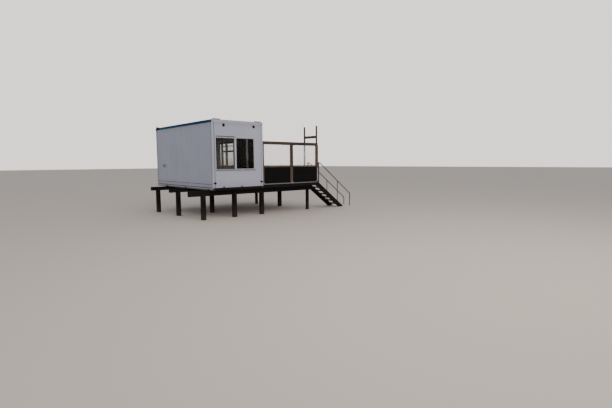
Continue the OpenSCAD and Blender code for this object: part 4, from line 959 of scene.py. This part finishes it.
# Portal: bolts into the deck's end, caps on the tubes, weld beads round the crossbar's ends.
portal = {"rows": 0.035, "washer": (0.018, 0.003, 16, 0.95), "bolt": (0.012, 0.009, 6, 0.95), "cap": 0.007,
          "weldOver": 0.010, "weldBand": 0.006, "weldDepth": 0.005}
posts = solidBoxes("portal_posts")
bm = bmesh.new()
for low, high in posts:
    midY = (low.y + high.y) / 2
    for z in ends(rimLow.z, rimHigh.z, portal["rows"]):
        addStud(bm, (high.x, midY, z), "deck", *portal["washer"])
        addStud(bm, (high.x + 0.0025, midY, z), "deck", *portal["bolt"])
finishPiece("portal_bolts", bm, "zincPlate")
bm = bmesh.new()
for low, high in posts:
    addBar(bm, (low.x, low.y, high.z - sunk), (high.x, high.y, high.z + portal["cap"]), bevel=0.0022)
finishPiece("portal_post_caps", bm, "blackRubber")
low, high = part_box("portal_crossbar")
middle = (low + high) / 2
size = high - low
bm = bmesh.new()
for face, y in (("back", low.y), ("front", high.y)):
    addRing(bm, (middle.x, y, middle.z), face, size.x + portal["weldOver"], size.z + portal["weldOver"],
            portal["weldBand"], portal["weldDepth"])
finishPiece("crossbar_welds", bm, "galvanisedTube")

# Stair: bolts into the ends of the treads, grip strips, plates at the newels' feet.
stairLow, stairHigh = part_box("stair_stringers")
tread = {"boltInset": 0.07, "bolt": (0.010, 0.006, 6), "grip": 0.045, "gripRise": 0.003,
         "gripInset": 0.04, "fromNose": 0.012, "gripPitch": 0.085}
treads = solidBoxes("stair_treads")
bm = bmesh.new()
for low, high in treads:
    for x in ends(low.x, high.x, tread["boltInset"]):
        for face, y in (("front", stairLow.y), ("back", stairHigh.y)):
            addStud(bm, (x, y, (low.z + high.z) / 2), face, *tread["bolt"])
finishPiece("tread_bolts", bm, "tarredIron")
bm = bmesh.new()
for low, high in treads:
    nose = high.x - tread["fromNose"]
    for end in (nose, nose - tread["gripPitch"]):
        addBar(bm, (end - tread["grip"], low.y + tread["gripInset"], high.z - sunk),
               (end, high.y - tread["gripInset"], high.z + tread["gripRise"]), bevel=0.001)
finishPiece("tread_grip_strips", bm, "blackRubber")
newel = {"half": 0.020, "foot": 0.05, "rise": 0.07, "thickness": 0.005, "boltOut": 0.03,
         "bolt": (0.007, 0.004, 6), "screwRows": (0.035, 0.056), "screw": (0.006, 0.003, 6)}
thickness = newel["thickness"]
newels = solidBoxes("stair_newels")
bm = bmesh.new()
for low, high in newels:
    midY = (low.y + high.y) / 2
    near = midY - newel["half"]
    far = midY + newel["half"]
    addBar(bm, (low.x - newel["foot"], near, low.z - sunk), (low.x, far, low.z + thickness), bevel=0.001)
    addBar(bm, (low.x - thickness, near, low.z), (low.x + sunk, far, low.z + newel["rise"]), bevel=0.001)
    addStud(bm, (low.x - newel["boltOut"], midY, low.z + thickness), "up", *newel["bolt"])
    for row in newel["screwRows"]:
        addStud(bm, (low.x - thickness, midY, low.z + row), "left", *newel["screw"])
finishPiece("newel_angles", bm, "zincPlate")

# Handrails: screws of the flanges, saddles and weld collars of the middle uprights, ferrules at the feet.
railSet = {"tube": 0.021, "slope": 36.57, "uprightX": 1.415, "rise": 0.940,
           "slopeFrom": 0.055, "knee": 0.770, "flangeRing": 0.0225, "flange": 0.006,
           "screw": (0.0022, 0.0015, 6), "saddleLong": 0.055, "saddleWide": 0.0215, "saddleThick": 0.0045,
           "weld": (0.0186, 0.023, 0.016, 24), "ferrule": (0.0224, 0.0216, 0.035, 24), "ferruleBack": 0.0015}
rails = solidBoxes("handrails")
slope = math.radians(railSet["slope"])
slopeTurn = Matrix.Rotation(slope, 4, "Y")
bm = bmesh.new()
collars = bmesh.new()
for (low, high), rail in zip(newels, rails):
    midY = (rail[0].y + rail[1].y) / 2
    for angle in map(math.radians, (90, 210, 330)):
        addStud(bm, (high.x + railSet["flange"], midY + railSet["flangeRing"] * math.cos(angle),
                     deckTop + railSet["knee"] + railSet["flangeRing"] * math.sin(angle)),
                "deck", *railSet["screw"])
    x = deckHigh.x + railSet["uprightX"]
    foot = deckTop - (railSet["uprightX"] - railSet["slopeFrom"]) * math.tan(slope)
    addBar(bm, (x - railSet["saddleLong"], midY - railSet["saddleWide"], foot - sunk),
           (x + railSet["saddleLong"], midY + railSet["saddleWide"], foot + railSet["saddleThick"]),
           bevel=0.001, turn=slopeTurn)
    under = foot + railSet["rise"] - railSet["tube"] / math.cos(slope)
    addRod(collars, Matrix.Translation((x, midY, under)) @ slopeTurn, *railSet["weld"])
finishPiece("upright_saddles", bm, "zincPlate")
finishPiece("handrail_welds", collars, "galvanisedTube", smooth=True)
bm = bmesh.new()
for low, high in rails:
    x = high.x - railSet["tube"] - railSet["ferruleBack"]
    place = Matrix.Translation((x, (low.y + high.y) / 2, railSet["ferrule"][2] / 2))
    addRod(bm, place, *railSet["ferrule"])
finishPiece("handrail_ferrules", bm, "blackRubber", smooth=True)
print("portal and stair fixings made")


# Camera at the photograph's angle, for a 612 x 408 frame; plain pale floor and soft light.

cameraSet = {"place": (-10.7946, -15.8104, 2.10), "turn": -41.518, "down": 5.832, "roll": -0.308,
             "focal": 408.2, "frameWidth": 612, "sensor": 36}
cameraData = bpy.data.cameras.new("camera")
cameraData.lens = cameraSet["focal"] / cameraSet["frameWidth"] * cameraSet["sensor"]
cameraData.sensor_width = cameraSet["sensor"]
camera = bpy.data.objects.new("camera", cameraData)
scene.collection.objects.link(camera)
camera.matrix_world = (Matrix.Translation(cameraSet["place"])
                       @ Matrix.Rotation(math.radians(cameraSet["turn"]), 4, "Z")
                       @ Matrix.Rotation(math.radians(90 - cameraSet["down"]), 4, "X")
                       @ Matrix.Rotation(math.radians(cameraSet["roll"]), 4, "Z"))
scene.camera = camera

stageSet = {"floorHalf": 150, "floor": "d3cabf", "light": "dfdfe3", "lightStrength": 0.8,
            "backdrop": "e8e2df", "backdropStrength": 1.9, "keyPower": 1100, "keySize": 12,
            "keyPlace": (-3.5, -15, 10), "keyColor": "fff4ea"}
floorMesh = bpy.data.meshes.new("studioFloor")
bm = bmesh.new()
bmesh.ops.create_grid(bm, x_segments=1, y_segments=1, size=stageSet["floorHalf"])
bm.to_mesh(floorMesh)
bm.free()
floor = bpy.data.objects.new("studioFloor", floorMesh)
scene.collection.objects.link(floor)
floorPaint = startMaterial("paleFloor", Roughness=0.9, Base_Color=hexColor(stageSet["floor"]))[0]
floorMesh.materials.append(floorPaint)

# an even soft light all round, in front of a brighter pale backdrop
world = bpy.data.worlds.new("softRoom")
world.use_nodes = True
tree = world.node_tree
lightPath = tree.nodes.new("ShaderNodeLightPath")
seen = addNode(tree, "Math", {0: lightPath.outputs["Is Camera Ray"],
                              1: lightPath.outputs["Is Transmission Ray"]}, operation="MAXIMUM")
direct = addNode(tree, "Math", {0: lightPath.outputs["Diffuse Depth"], 1: 0.5}, operation="LESS_THAN")
seen = addNode(tree, "Math", {0: seen, 1: direct}, operation="MULTIPLY")
soft = addNode(tree, "Background", {"Color": hexColor(stageSet["light"]),
                                    "Strength": stageSet["lightStrength"]})
backdrop = addNode(tree, "Background", {"Color": hexColor(stageSet["backdrop"]),
                                        "Strength": stageSet["backdropStrength"]})
room = addNode(tree, "MixShader", {0: seen, 1: soft, 2: backdrop})
tree.links.new(room, tree.nodes["World Output"].inputs["Surface"])
scene.world = world

keyData = bpy.data.lights.new("softKey", "AREA")
keyData.energy = stageSet["keyPower"]
keyData.size = stageSet["keySize"]
keyData.color = hexColor(stageSet["keyColor"])[:3]
key = bpy.data.objects.new("softKey", keyData)
key.location = stageSet["keyPlace"]
key.rotation_mode = "QUATERNION"
key.rotation_quaternion = (Vector((0, 0, 1.5)) - key.location).to_track_quat("-Z", "Y")
scene.collection.objects.link(key)
print("camera, floor and light set")
